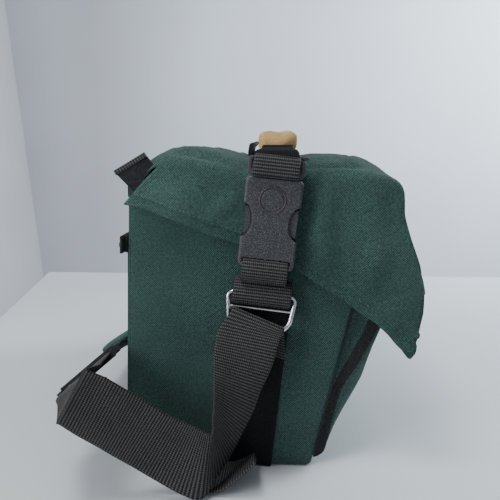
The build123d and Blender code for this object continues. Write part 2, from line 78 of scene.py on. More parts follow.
# ---- material building ----
class Paint:
    """A Principled material with short calls for its nodes."""

    def __init__(self, name, rough, metal=0.0, sheen=0.0, specular=0.5):
        self.mat = bpy.data.materials.new(name)
        self.mat.use_nodes = True
        self.tree = self.mat.node_tree
        self.tree.nodes.clear()
        self.out = self.tree.nodes.new("ShaderNodeOutputMaterial")
        self.bsdf = self.tree.nodes.new("ShaderNodeBsdfPrincipled")
        self.tree.links.new(self.bsdf.outputs[0], self.out.inputs[0])
        self.bsdf.inputs["Roughness"].default_value = rough
        self.bsdf.inputs["Metallic"].default_value = metal
        self.bsdf.inputs["Specular IOR Level"].default_value = specular
        self.bsdf.inputs["Sheen Weight"].default_value = sheen
        self.place = self.coords("Object")

    def link(self, source, target):
        if isinstance(source, (int, float)):
            target.default_value = source
        else:
            self.tree.links.new(source, target)

    def coords(self, kind):
        return self.tree.nodes.new("ShaderNodeTexCoord").outputs[kind]

    def split(self, vector):
        node = self.tree.nodes.new("ShaderNodeSeparateXYZ")
        self.link(vector, node.inputs[0])
        return node.outputs

    def math(self, operation, first, second=0.0):
        node = self.tree.nodes.new("ShaderNodeMath")
        node.operation = operation
        self.link(first, node.inputs[0])
        self.link(second, node.inputs[1])
        return node.outputs[0]

    def total(self, *parts):
        """Sum of sources, each times its own weight."""
        result = 0.0
        for source, weight in parts:
            result = self.math("ADD", result, self.math("MULTIPLY", source, weight))
        return result

    def wave(self, source, length):
        return self.math("SINE", self.math("MULTIPLY", source, 2 * math.pi / length))

    def noise(self, scale, detail, rough=0.5):
        node = self.tree.nodes.new("ShaderNodeTexNoise")
        node.inputs["Scale"].default_value = scale
        node.inputs["Detail"].default_value = detail
        node.inputs["Roughness"].default_value = rough
        self.link(self.place, node.inputs["Vector"])
        return node.outputs["Fac"]

    def voronoi(self, scale):
        node = self.tree.nodes.new("ShaderNodeTexVoronoi")
        node.inputs["Scale"].default_value = scale
        self.link(self.place, node.inputs["Vector"])
        return node.outputs["Distance"]

    def ramp(self, factor, stops):
        node = self.tree.nodes.new("ShaderNodeValToRGB")
        self.link(factor, node.inputs[0])
        elements = node.color_ramp.elements
        while len(elements) < len(stops):
            elements.new(0.5)
        for element, (place, colour) in zip(elements, stops):
            element.position = place
            element.color = (*colour, 1.0)
        return node.outputs[0]

    def multiply(self, first, second):
        """One colour times another."""
        node = self.tree.nodes.new("ShaderNodeMix")
        node.data_type = "RGBA"
        node.blend_type = "MULTIPLY"
        self.link(1.0, node.inputs[0])
        self.link(first, node.inputs[6])
        self.link(second, node.inputs[7])
        return node.outputs[2]

    def bump(self, height, strength, distance):
        node = self.tree.nodes.new("ShaderNodeBump")
        node.inputs["Strength"].default_value = strength
        node.inputs["Distance"].default_value = distance
        self.link(height, node.inputs["Height"])
        return node.outputs[0]

    def colour(self, source):
        self.link(source, self.bsdf.inputs["Base Color"])

    def rough(self, source):
        self.link(source, self.bsdf.inputs["Roughness"])

    def normal(self, source):
        self.link(source, self.bsdf.inputs["Normal"])


def between(dark, light, share):
    return tuple(a + (b - a) * share for a, b in zip(dark, light))


def weave_height(paint, pitch):
    """Plain weave, from 0 to 2: a checkerboard of thread crowns laid on from all three sides."""
    waves = [paint.wave(axis, 2 * pitch) for axis in paint.split(paint.place)]
    turned = paint.split(paint.coords("Normal"))
    height = 1.0
    for facing in range(3):
        crowns = paint.math("MULTIPLY", waves[(facing + 1) % 3], waves[(facing + 2) % 3])
        share = paint.math("MULTIPLY", turned[facing], turned[facing])
        height = paint.math("ADD", paint.math("MULTIPLY", crowns, share), height)
    return height


def cloth_paint(name, dark, light, pitch, rough=0.88, sheen=0.06):
    """Woven cloth: threads, uneven dye over some centimetres, and a slight fuzz."""
    paint = Paint(name, rough, sheen=sheen, specular=0.2)
    weave = weave_height(paint, pitch)
    slow = paint.noise(16.0, 3.0)
    fine = paint.noise(640.0, 2.0)
    tone = paint.total((weave, 0.26), (slow, 0.30), (fine, 0.80))
    paint.colour(paint.ramp(tone, [(0.42, dark), (0.80, between(dark, light, 0.38)), (1.0, light)]))
    paint.normal(paint.bump(paint.total((weave, 1.0), (fine, 1.2)), 0.9, 0.0005))
    return paint.mat


def webbing_paint(name, dark, light, pitch=0.0024, specular=0.35):
    """Nylon webbing: rows of thread crowns across the strap, on the ribs' own spacing; the rows are the
    weave's own pattern, and their darker grooves between the ribs are painted shade.
    """
    paint = Paint(name, 0.62, specular=specular)
    axes = paint.split(paint.coords("UV"))
    across = paint.wave(axes[0], 0.0016)
    along = paint.wave(axes[1], pitch)
    fuzz = paint.noise(1100.0, 2.0)
    slow = paint.noise(30.0, 2.0)
    # The along wave darkens the colour in the grooves between the ribs: painted shade.
    tone = paint.total((along, 0.30), (across, 0.14), (fuzz, 0.70), (slow, 0.25))
    paint.colour(paint.ramp(tone, [(0.28, dark), (0.52, between(dark, light, 0.3)), (0.80, light)]))
    paint.normal(paint.bump(paint.total((across, 0.5), (fuzz, 1.0)), 0.8, 0.0004))
    return paint.mat


def suede_paint(name):
    """Napped leather, rubbed paler on its high spots."""
    paint = Paint(name, 0.92, sheen=0.15, specular=0.15)
    nap = paint.noise(520.0, 5.0, 0.7)
    rub = paint.noise(70.0, 4.0)
    tone = paint.total((nap, 0.5), (rub, 0.55))
    paint.colour(paint.ramp(tone, [(0.30, (0.36, 0.22, 0.085)), (0.55, (0.56, 0.37, 0.165)),
                                   (0.80, (0.68, 0.47, 0.23))]))
    paint.normal(paint.bump(nap, 0.5, 0.0005))
    return paint.mat


def plastic_paint(name, shade=1.0):
    """Acetal with a spark-eroded grain: matt with pale speckle."""
    paint = Paint(name, 0.45)
    grain = paint.noise(1250.0, 2.0, 0.6)
    handling = paint.noise(45.0, 3.0)
    speckle = [(0.36, (0.012, 0.012, 0.014)), (0.52, (0.032, 0.032, 0.037)),
               (0.70, (0.125, 0.125, 0.138))]
    paint.colour(paint.ramp(grain, [(stop, tuple(shade * c for c in grey)) for stop, grey in speckle]))
    paint.rough(paint.math("ADD", paint.math("MULTIPLY", handling, 0.22), 0.34))
    paint.normal(paint.bump(grain, 0.7, 0.00035))
    return paint.mat


def steel_paint(name):
    """Bright plating, lightly scuffed."""
    paint = Paint(name, 0.2, metal=1.0)
    scuff = paint.noise(260.0, 4.0, 0.6)
    paint.colour(paint.ramp(scuff, [(0.3, (0.50, 0.50, 0.52)), (0.7, (0.78, 0.78, 0.80))]))
    paint.rough(paint.math("ADD", paint.math("MULTIPLY", scuff, 0.22), 0.08))
    paint.normal(paint.bump(scuff, 0.12, 0.0002))
    return paint.mat


def fuzzy_paint(name, dark, light):
    """Hook-and-loop: a dense mat of short loops."""
    paint = Paint(name, 0.95, sheen=0.3, specular=0.15)
    tone = paint.total((paint.voronoi(700.0), 0.6), (paint.noise(300.0, 4.0), 0.5))
    paint.colour(paint.ramp(tone, [(0.25, dark), (0.8, light)]))
    paint.normal(paint.bump(tone, 0.9, 0.0008))
    return paint.mat


green = cloth_paint("green_nylon", (0.0055, 0.021, 0.0175), (0.073, 0.152, 0.135), 0.00100)
lining = cloth_paint("grey_lining", (0.045, 0.048, 0.050), (0.20, 0.205, 0.21), 0.0011, rough=0.95,
                     sheen=0.5)
webbing = webbing_paint("black_webbing", (0.0022, 0.0022, 0.0026), (0.080, 0.079, 0.082))
# A finer-woven webbing, much darker than black_webbing: the extra darkness is painted shade, for the load
# bands, handle band and handle edges that lie in shadow.
shaded_fine_webbing = webbing_paint("shaded_fine_webbing", (0.0008, 0.0010, 0.0014), (0.017, 0.020, 0.023), 0.0016,
                             specular=0.12)
tape = cloth_paint("zipper_tape", (0.002, 0.002, 0.0025), (0.045, 0.045, 0.050), 0.0009)
hook_loop = fuzzy_paint("hook_loop", (0.002, 0.002, 0.003), (0.022, 0.021, 0.026))
suede = suede_paint("tan_suede")
plastic = plastic_paint("grained_plastic")
dark_plastic = plastic_paint("black_plastic", 0.25)
steel = steel_paint("plated_steel")
green_thread = cloth_paint("green_thread", (0.03, 0.078, 0.066), (0.105, 0.20, 0.18), 0.0006)
black_thread = cloth_paint("black_thread", (0.002, 0.002, 0.0025), (0.035, 0.035, 0.037), 0.0006)


# ---- mesh building ----
def face_outwards(mesh):
    """Turns a closed mesh's faces so that their normals point out."""
    shape = bmesh.new()
    shape.from_mesh(mesh)
    bmesh.ops.recalc_face_normals(shape, faces=shape.faces)
    shape.to_mesh(mesh)
    shape.free()


def placed(name, data):
    """A new object in the scene."""
    thing = bpy.data.objects.new(name, data)
    bpy.context.scene.collection.objects.link(thing)
    return thing


def new_piece(name, points, faces, material, body, replaces=(), smooth=True, closed=True, uvs=None):
    mesh = bpy.data.meshes.new(name)
    mesh.from_pydata([tuple(p) for p in points], [], faces)
    mesh.update()
    if closed:
        face_outwards(mesh)
    if uvs is not None:
        layer = mesh.uv_layers.new(name="cloth")
        index = np.empty(len(mesh.loops), dtype=np.int32)
        mesh.loops.foreach_get("vertex_index", index)
        layer.data.foreach_set("uv", np.asarray(uvs, dtype=np.float32)[index].ravel())
    if smooth:
        mesh.shade_smooth()
    mesh.materials.append(material)
    return settle(placed(name, mesh), body, replaces)


def settle(piece, body, replaces):
    if body:
        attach(piece, body)
    if replaces:
        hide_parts(*replaces)
    return piece


def bake_modifiers(piece):
    """Applies the piece's modifiers to its mesh."""
    graph = bpy.context.evaluated_depsgraph_get()
    mesh = bpy.data.meshes.new_from_object(piece.evaluated_get(graph))
    piece.modifiers.clear()
    piece.data = mesh
    return piece


def grid_faces(rows, columns, closed=False):
    """Quads of a grid whose points are listed row by row; closed joins last column to first."""
    faces = []
    last = columns if closed else columns - 1
    for row in range(rows - 1):
        for column in range(last):
            follow = (column + 1) % columns
            faces.append((row * columns + column, row * columns + follow,
                          (row + 1) * columns + follow, (row + 1) * columns + column))
    return faces


def capped_faces(rings, sides):
    """Quads between rings of points, with a flat face on each end."""
    faces = grid_faces(rings, sides, closed=True)
    faces.append(tuple(reversed(range(sides))))
    faces.append(tuple(range((rings - 1) * sides, rings * sides)))
    return faces


def runs_along(points):
    """Distance along a line from its first point to each of its points."""
    return np.r_[0, np.cumsum(np.linalg.norm(np.diff(points, axis=0), axis=1))]


def tube(name, path, radius, material, body, sides=8, closed=False):
    """Round tube along a list of points; radius may be a list, one for each point."""
    path = [Vector(p) for p in path]
    count = len(path)
    radii = radius if isinstance(radius, (list, tuple)) else [radius] * count
    points = []
    uvs = []
    run = 0.0
    guide = Vector((0.31, 0.17, 0.93))
    for index, centre in enumerate(path):
        ahead = path[(index + 1) % count] if closed else path[min(index + 1, count - 1)]
        before = path[index - 1] if closed or index else path[0]
        along = (ahead - before).normalized()
        side = along.cross(guide).normalized()
        guide = side.cross(along).normalized()
        if index:
            run += (centre - path[index - 1]).length
        for step in range(sides):
            angle = 2 * math.pi * step / sides
            points.append(centre + (side * math.cos(angle) + guide * math.sin(angle)) * radii[index])
            uvs.append((angle * radii[index], run))
    faces = capped_faces(count, sides)
    if closed:
        last = (count - 1) * sides
        faces[-2:] = [(last + s, last + (s + 1) % sides, (s + 1) % sides, s) for s in range(sides)]
    return new_piece(name, points, faces, material, body, uvs=uvs)


def smooth_rows(rows, spacing):
    """Catmull-Rom line through pairs of edge points, resampled evenly along its middle."""
    rows = np.array([(*a, *b) for a, b in rows], float)
    ends = np.vstack([2 * rows[0] - rows[1], rows, 2 * rows[-1] - rows[-2]])
    dense = []
    for a, b, c, d in zip(ends, ends[1:], ends[2:], ends[3:]):
        for t in np.linspace(0, 1, 40, endpoint=False):
            dense.append(0.5 * (2 * b + (c - a) * t + (2 * a - 5 * b + 4 * c - d) * t ** 2
                                + (3 * b - a - 3 * c + d) * t ** 3))
    dense.append(rows[-1])
    dense = np.array(dense)
    middle = (dense[:, :3] + dense[:, 3:]) / 2
    runs = runs_along(middle)
    count = max(4, int(round(runs[-1] / spacing)) + 1)
    places = np.linspace(0, runs[-1], count)
    table = np.column_stack([np.interp(places, runs, dense[:, k]) for k in range(6)])
    return table[:, :3], table[:, 3:], places


def band_frame(first, second):
    """Middle line, half-width vectors and outward directions of a band given by its two edges."""
    middle = (first + second) / 2
    half = (second - first) / 2
    along = np.gradient(middle, axis=0)
    out = np.cross(along, half)
    out /= np.linalg.norm(out, axis=1)[:, None]
    return middle, half, out


rib_pitch = 0.0024
band_lanes = np.array([-1.0, -0.97, -0.90, -0.6, -0.2, 0.2, 0.6, 0.90, 0.97, 1.0])
band_edge = np.array([0.2, 0.75, 1.0, 1.0, 1.0, 1.0, 1.0, 1.0, 0.75, 0.2])


def band(name, rows, body, material=webbing, thick=0.0018, pitch=rib_pitch, rib=0.00052,
         replaces=()):
    """Ribbed webbing between two edge lines, given as (inner edge, outer edge) pairs."""
    first, second, runs = smooth_rows(rows, pitch / 6)
    middle, half, out = band_frame(first, second)
    ribs = rib * (0.5 + 0.5 * np.sin(2 * np.pi * runs / pitch))
    width = float(np.linalg.norm(half, axis=1).mean())
    rings = []
    uvs = []
    for side in (1, -1):
        for lane, edge in list(zip(band_lanes, band_edge))[::side]:
            height = side * (thick / 2 * edge + ribs * edge)
            rings.append(middle + half * lane + out * height[:, None])
            uvs.append(np.column_stack([np.full(len(runs), lane * width), runs]))
    points = np.stack(rings, axis=1).reshape(-1, 3)
    uvs = np.stack(uvs, axis=1).reshape(-1, 2)
    faces = capped_faces(len(runs), len(rings))
    return new_piece(name, points, faces, material, body, replaces, uvs=uvs)


def edges_of(route, width):
    """(x, y, z, across) rows as (inner edge, outer edge) pairs."""
    pairs = []
    for row in route:
        centre = Vector(row[:3])
        side = Vector(row[3:]).normalized() * (width / 2)
        pairs.append((tuple(centre - side), tuple(centre + side)))
    return pairs


def mirrored(pairs):
    """The same band on the other end of the bag."""
    return [((-a[0], a[1], a[2]), (-b[0], b[1], b[2])) for a, b in pairs]


def stitching(name, path, body, material, radius, length=0.0028, gap=0.0013):
    """A row of raised stitches along a line of points."""
    path = np.array([tuple(p) for p in path], float)
    runs = runs_along(path)
    points = []
    faces = []
    sides = 6
    place = gap
    while place + length < runs[-1]:
        spots = [np.array([np.interp(place + length * t, runs, path[:, k]) for k in range(3)])
                 for t in (0.0, 0.25, 0.75, 1.0)]
        along = Vector(spots[-1] - spots[0])
        if along.length > 1e-6:
            along.normalize()
            side = along.cross(Vector((0.37, 0.81, 0.45))).normalized()
            other = along.cross(side)
            start = len(points)
            for spot, swell in zip(spots, (0.35, 1.0, 1.0, 0.35)):
                for step in range(sides):
                    angle = 2 * math.pi * step / sides
                    points.append(Vector(spot) + (side * math.cos(angle) + other * math.sin(angle))
                                  * radius * swell)
            faces += [tuple(start + i for i in face) for face in capped_faces(len(spots), sides)]
        place += length + gap
    return new_piece(name, points, faces, material, body)


def relax(points, faces, weights, rounds):
    """Laplacian smoothing of the points, each by its weight."""
    points = np.array([tuple(p) for p in points], float)
    pairs = {tuple(sorted((face[i], face[(i + 1) % len(face)]))) for face in faces
             for i in range(len(face))}
    pairs = np.array(sorted(pairs))
    counts = np.bincount(pairs.ravel(), minlength=len(points))[:, None]
    weights = np.asarray(weights, float)[:, None]
    for _ in range(rounds):
        total = np.zeros_like(points)
        np.add.at(total, pairs[:, 0], points[pairs[:, 1]])
        np.add.at(total, pairs[:, 1], points[pairs[:, 0]])
        points += weights * 0.5 * (total / np.maximum(counts, 1) - points)
    return points


def sheet_piece(name, points, faces, material, thick, body, replaces):
    """A cloth surface given a thickness behind it."""
    piece = new_piece(name, points, faces, material, None, replaces, closed=False)
    solid = piece.modifiers.new("cloth", "SOLIDIFY")
    solid.thickness = thick
    solid.offset = -1.0
    bake_modifiers(piece)
    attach(piece, body)
    return piece


def rounded_copy(node, name, body, material, voxel=0.00055, passes=3):
    """A CAD node's shape again with its edges moulded round."""
    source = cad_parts[node]
    mesh = source.data.copy()
    mesh.transform(source.matrix_world)
    piece = placed(name, mesh)
    melt = piece.modifiers.new("melt", "REMESH")
    melt.mode = "VOXEL"
    melt.voxel_size = voxel
    melt.use_smooth_shade = True
    soften = piece.modifiers.new("soften", "SMOOTH")
    soften.factor = 0.5
    soften.iterations = passes
    bake_modifiers(piece)
    piece.data.materials.clear()
    piece.data.materials.append(material)
    return settle(piece, body, [node])


# ---- camera, light and floor ----
camera_place = Vector((-0.617, -0.0525, 0.271))
table_edge = 0.60
wall_askew = math.radians(10.9)
wall_setback = 1.8


def aim_camera():
    camera = bpy.data.cameras.new("view")
    holder = placed("view", camera)
    camera.sensor_width = 36.0
    camera.lens = 39.2
    pitch = math.radians(10.0)
    yaw = math.radians(3.15)
    look = Vector((math.cos(pitch) * math.cos(yaw), math.cos(pitch) * math.sin(yaw),
                   -math.sin(pitch)))
    holder.location = camera_place
    holder.rotation_euler = look.to_track_quat("-Z", "Y").to_euler()
    bpy.context.scene.camera = holder


def plain_paint(name, colour, rough, shaded_corner):
    """Painted board; one by a corner gets painted shade that darkens it over the last 0.6 m before its
    corner.
    """
    paint = Paint(name, rough)
    low = tuple(0.94 * c for c in colour)
    tone = paint.ramp(paint.noise(3.0, 2.0), [(0.3, low), (0.7, colour)])
    if shaded_corner:
        # Painted shade: the colour darkens along y towards the corner.
        along = paint.split(paint.place)[1]
        corner_shade = paint.ramp(along, [(0.26, (1.0, 1.0, 1.0)), (0.68, (0.70, 0.68, 0.68))])
        tone = paint.multiply(tone, corner_shade)
    paint.colour(tone)
    return paint.mat


def beside(x):
    """Where the table's skewed left edge lies at one x."""
    return 0.4845 - (table_edge - x) * math.tan(wall_askew)


def set_back(point):
    """A wall's corner, moved straight away from the camera, so that the walls clear the other views."""
    return camera_place + (Vector(point) - camera_place) * wall_setback


def set_stage():
    """Pale table top, with two walls that stand well behind it; the side one runs slightly askew, and its
    darker grey is painted shade.
    """
    height = 1.5
    lean = 0.085 * height
    corner_y = beside(table_edge)
    near_x = 0.20
    near_y = beside(near_x)
    table = [(-2.0, -1.6, 0), (near_x, -1.6, 0), (table_edge, -1.6, 0), (table_edge, corner_y, 0),
             (near_x, near_y, 0), (near_x, 1.6, 0), (-2.0, 1.6, 0)]
    far = [(table_edge, -1.6, -0.2), (table_edge, 0.75, -0.2), (table_edge, 0.75, height),
           (table_edge, -1.6, height)]
    side = [(table_edge, corner_y, -0.2), (near_x, near_y, -0.2), (near_x, near_y + lean, height),
            (table_edge, corner_y + lean, height)]
    for name, corners, faces, colour, rough in (
            ("floor", table, [(0, 1, 5, 6), (1, 2, 3, 4)], (0.70, 0.73, 0.755), 0.5),
            ("far_wall", [set_back(p) for p in far], [(0, 1, 2, 3)], (0.84, 0.905, 0.98), 0.7),
            # The side wall's darker grey is painted shade, for a wall that stands unlit.
            ("side_wall", [set_back(p) for p in side], [(0, 1, 2, 3)], (0.62, 0.60, 0.62), 0.7)):
        mesh = bpy.data.meshes.new(name)
        mesh.from_pydata([(x, y, z - 0.0006) for x, y, z in corners], [], faces)
        mesh.materials.append(plain_paint(f"{name}_pale", colour, rough, name == "far_wall"))
        placed(name, mesh)


def add_light(name, place, target, size, power, colour):
    light = bpy.data.lights.new(name, "AREA")
    light.shape = "RECTANGLE"
    light.size = size
    light.size_y = size
    light.energy = power
    light.color = colour
    holder = placed(name, light)
    holder.location = place
    aim = Vector(target) - Vector(place)
    holder.rotation_euler = aim.to_track_quat("-Z", "Y").to_euler()


def set_lights():
    add_light("ceiling", (-0.42, 0.22, 1.25), (-0.1, 0, 0.1), 0.32, 6.8, (1.0, 0.985, 0.97))
    add_light("window", (-0.80, 0.78, 0.58), (-0.1, 0.02, 0.16), 0.5, 7.8, (0.95, 0.98, 1.0))
    add_light("far_wash", (0.75, -1.4, 1.0), (1.57, -0.4, 0.15), 0.9, 44.0, (0.88, 0.95, 1.0))
    world = bpy.data.worlds.new("studio")
    bpy.context.scene.world = world
    world.use_nodes = True
    colour, strength = world.node_tree.nodes["Background"].inputs[:2]
    colour.default_value = (0.82, 0.87, 0.93, 1)
    strength.default_value = 0.40


# ---- body: outer shell, lining, piping ----
def wrinkle(point, size, depth, seed=0.0):
    """Slow fabric unevenness at a point, in metres."""
    place = Vector(point) / size + Vector((seed, seed * 0.7, seed * 1.3))
    return depth * noise.noise(place)


def hump(value, centre, width, power=2):
    """Smooth rise and fall, 1 at its centre; a power of 4 gives it a flat top."""
    return math.exp(-((value - centre) / width) ** power)


def signed_power(value, power):
    return math.copysign(abs(value) ** power, value)


def box_ring(x_half, y_front, y_back, radius, per_side=26, corner=6):
    """Points round a rounded rectangle, with how far each lies from its side's ends (0 to 1)."""
    ring = []
    corners = [(x_half, y_back, 0), (-x_half, y_back, 90), (-x_half, y_front, 180),
               (x_half, y_front, 270)]

    def arc(x, y, angle):
        cx = x - math.copysign(radius, x)
        cy = y - radius if y == y_back else y + radius
        return cx + radius * math.cos(angle), cy + radius * math.sin(angle)

    for index, (x, y, start) in enumerate(corners):
        for step in range(corner + 1):
            ring.append((*arc(x, y, math.radians(start + 90 * step / corner)), 0.0))
        turn = math.radians(start + 90)
        first = arc(x, y, turn)
        last = arc(*corners[(index + 1) % 4][:2], turn)
        for step in range(1, per_side):
            t = step / per_side
            ring.append((first[0] + (last[0] - first[0]) * t, first[1] + (last[1] - first[1]) * t,
                         math.sin(math.pi * t)))
    return ring


def shell_piece(name, material, replaces, inset, thick, low, high, bulge, levels=60):
    """Closed box-shaped cup: outer wall up, rounded rim, inner wall down, and the floor."""
    points = []
    radius = 0.004
    size = len(box_ring(1.0, -1.0, 1.0, 0.1))

    def add_ring(z, offset, swell):
        height = max(0.0, min(1.0, (z - low) / (high - low)))
        for x, y, share in box_ring(half_length - offset, front_y(z) + offset,
                                    back_y(z) - offset, radius):
            on_end = abs(abs(x) - (half_length - offset)) < 1e-6
            push = swell * share * math.sin(math.pi * height) ** 0.8
            ripple = wrinkle((x, y, z), 0.05, 0.0016) * share * (1 if swell else 0)
            if on_end:
                x += math.copysign(push * 0.12 + min(ripple, 0.0), x)
            else:
                y += math.copysign(push + ripple, y)
            points.append((x, y, z))

    round_low = 0.003
    for step in range(4):
        angle = math.pi / 2 * step / 4
        add_ring(low + round_low * (1 - math.cos(angle)), inset + round_low * (1 - math.sin(angle)),
                 0.0)
    for step in range(levels + 1):
        add_ring(low + round_low + (high - low - round_low - thick / 2) * step / levels, inset, bulge)
    for step in range(1, 6):
        angle = math.pi * step / 6
        add_ring(high - thick / 2 + thick / 2 * math.sin(angle),
                 inset + thick / 2 * (1 - math.cos(angle)), 0.0)
    for step in range(levels + 1):
        add_ring(high - thick / 2 - (high - low - thick * 1.5) * step / levels, inset + thick, 0.0)
    edge = points[-size:]
    for step in range(1, 5):
        share = 1 - step / 5
        points += [(x * share, y * share, low + thick) for x, y, _ in edge]
    rings = len(points) // size
    faces = grid_faces(rings, size, closed=True)
    last = (rings - 1) * size
    faces += [(last + i, last + (i + 1) % size, len(points)) for i in range(size)]
    faces += [((i + 1) % size, i, len(points) + 1) for i in range(size)]
    points += [(0, 0, low + thick), (0, 0, low)]
    return new_piece(name, points, faces, material, "root", replaces)


def make_body():
    shell = shell_piece("body_shell", green,
                        ["base_panel", "left_end_panel", "right_end_panel", "front_panel",
                         "back_panel"],
                        0.0, 0.003, 0.0, rim, 0.004)
    shell_piece("body_lining", lining,
                ["base_foam", "left_end_foam", "right_end_foam", "front_foam", "back_foam"],
                0.0032, 0.0085, 0.0032, rim - 0.001, 0.0)
    for name, side in (("left", -1), ("right", 1)):
        x = side * (half_length - 0.0013)
        path = [(x, back_y(z) - 0.0013, z) for z in np.linspace(rim - 0.004, 0.008, 60)]
        tube(f"{name}_piping", path, 0.0012, green, "root", sides=10)
        # A thin black tube down each end panel's front edge: painted shade, a dark line for the shadow in
        # the seam where the panel meets the pocket gusset.
        seam = [(side * (half_length - 0.0003), front_y(z) - 0.0003, z)
                for z in np.linspace(0.010, rim - 0.03, 60)]
        tube(f"{name}_front_seam", seam, 0.0006, black_thread, "root")


def make_divider(name, x):
    """Upright padded divider across the bag, its edges rounded."""
    thick = 0.009
    low, high = 0.0125, 0.225
    gap = 0.0125
    outline = [(front_y(z) + gap, z) for z in np.linspace(low, high, 24)]
    outline += [(y, high) for y in np.linspace(front_y(high) + gap, back_y(high) - gap, 16)[1:-1]]
    outline += [(back_y(z) - gap, z) for z in np.linspace(high, low, 24)]
    outline += [(y, low) for y in np.linspace(back_y(low) - gap, front_y(low) + gap, 16)[1:-1]]
    middle = (np.mean([p[0] for p in outline]), (low + high) / 2)
    layers = [(-0.5, 0.35), (-0.5, 0.80), (-0.44, 0.965), (-0.28, 0.995), (0.0, 1.0), (0.28, 0.995),
              (0.44, 0.965), (0.5, 0.80), (0.5, 0.35)]
    points = [(x - depth * thick, middle[0] + (y - middle[0]) * scale, middle[1] + (z - middle[1]) * scale)
              for depth, scale in layers for y, z in outline]
    board = new_piece(f"{name}_pad", points, capped_faces(len(layers), len(outline)), lining,
                      f"{name}_body", [name])


# ---- hood: lid top, front flap and end wings as one cloth ----
hood_half = lid_high.x + 0.0006
hood_back = lid_high.y
hood_front = -0.146
tab_foot = 0.050
crown_line = [(-0.146, 0.2520), (-0.135, 0.2610), (-0.125, 0.2660), (-0.115, 0.2690),
              (-0.100, 0.2697), (-0.080, 0.2687), (-0.065, 0.2655), (-0.050, 0.2640),
              (-0.025, 0.2662), (-0.010, 0.2700), (0.005, 0.2738), (0.018, 0.2768),
              (0.030, 0.2776), (0.040, 0.2752), (0.050, 0.2706), (0.060, 0.2630), (0.0685, 0.2560)]
fold_line = [(-0.146, 0.2512), (-0.137, 0.2540), (-0.123, 0.2562), (-0.100, 0.2566),
             (-0.071, 0.2568), (-0.050, 0.2550), (-0.024, 0.2560), (-0.008, 0.2602),
             (0.004, 0.2640), (0.018, 0.2672), (0.032, 0.2696), (0.044, 0.2702), (0.053, 0.2650),
             (0.060, 0.2600), (0.0685, 0.2550)]
flap_line = [(-0.146, 0.2510), (-0.1500, 0.2475), (-0.1516, 0.2430), (-0.1522, 0.2272),
             (-0.1541, 0.2193), (-0.1579, 0.2072), (-0.1661, 0.1854), (-0.1706, 0.1622),
             (-0.1699, 0.1454), (-0.1675, 0.1283), (-0.1644, 0.1110), (-0.1612, 0.1022)]
wing_hem = [(0.0742, 0.2314), (0.0690, 0.2305), (0.053, 0.2261), (0.0327, 0.2184),
            (0.0140, 0.2108), (0.0026, 0.2059), (-0.0187, 0.1987), (-0.0702, 0.1751),
            (-0.0875, 0.1645), (-0.1065, 0.1529), (-0.1199, 0.1421), (-0.1316, 0.1346),
            (-0.1426, 0.1245), (-0.1487, 0.1168), (-0.1548, 0.1091), (-0.1612, 0.1022)]
hem_width = 0.0095


def along_line(line, share):
    """Point at a share of a polyline's length."""
    line = np.array(line, float)
    runs = runs_along(line)
    return [float(np.interp(share * runs[-1], runs, line[:, k])) for k in range(line.shape[1])]


def height_on(line, y):
    rows = sorted(line)
    return float(np.interp(y, [r[0] for r in rows], [r[1] for r in rows]))


fold_radius = 0.0075
# each fold of the top: height, place in from the edge, width, place along the edge, length, power
top_folds = [(-0.0072, 0.0160, 0.0052, -0.092, 0.026, 4), (0.0025, 0.0070, 0.0045, -0.092, 0.030, 4),
             (-0.0034, 0.0170, 0.0050, 0.014, 0.028, 4), (0.0024, 0.0290, 0.0070, 0.010, 0.026, 2)]


def top_height(x, y):
    """The padded top: two puffed lobes that fall to a rounded fold over the end wings."""
    inside = hood_half - abs(x)
    rise = min(1.0, inside / 0.042)
    rise = rise * rise * (3 - 2 * rise)
    fold = height_on(fold_line, y)
    crown = height_on(crown_line, y)
    z = fold + (crown - fold) * rise
    for height, inward, width, centre, length, power in top_folds:
        z += height * hump(inside, inward, width) * hump(y, centre, length, power)
    gather = math.sin(2 * math.pi * (y + 0.45 * inside) / 0.011) * hump(y, -0.004, 0.016)
    z += 0.0011 * gather * min(1.0, inside / 0.008) * hump(inside, 0.0, 0.05)
    calm = (min(1.0, inside / 0.012) * min(1.0, (y - hood_front) / 0.02)
            * min(1.0, (hood_back - y) / 0.01))
    ripple = wrinkle((x, y, 0), 0.040, 0.0034, 3.1) + wrinkle((x, y, 0), 0.014, 0.0015, 5.7)
    under_band = hump(y, band_y(0.262), 0.024, 4)
    z += ripple * calm * (1 - 0.8 * under_band)
    if inside < fold_radius:
        level = 1 - inside / fold_radius
        z -= fold_radius * (1 - math.sqrt(max(0.0, 1 - level * level)))
    return z


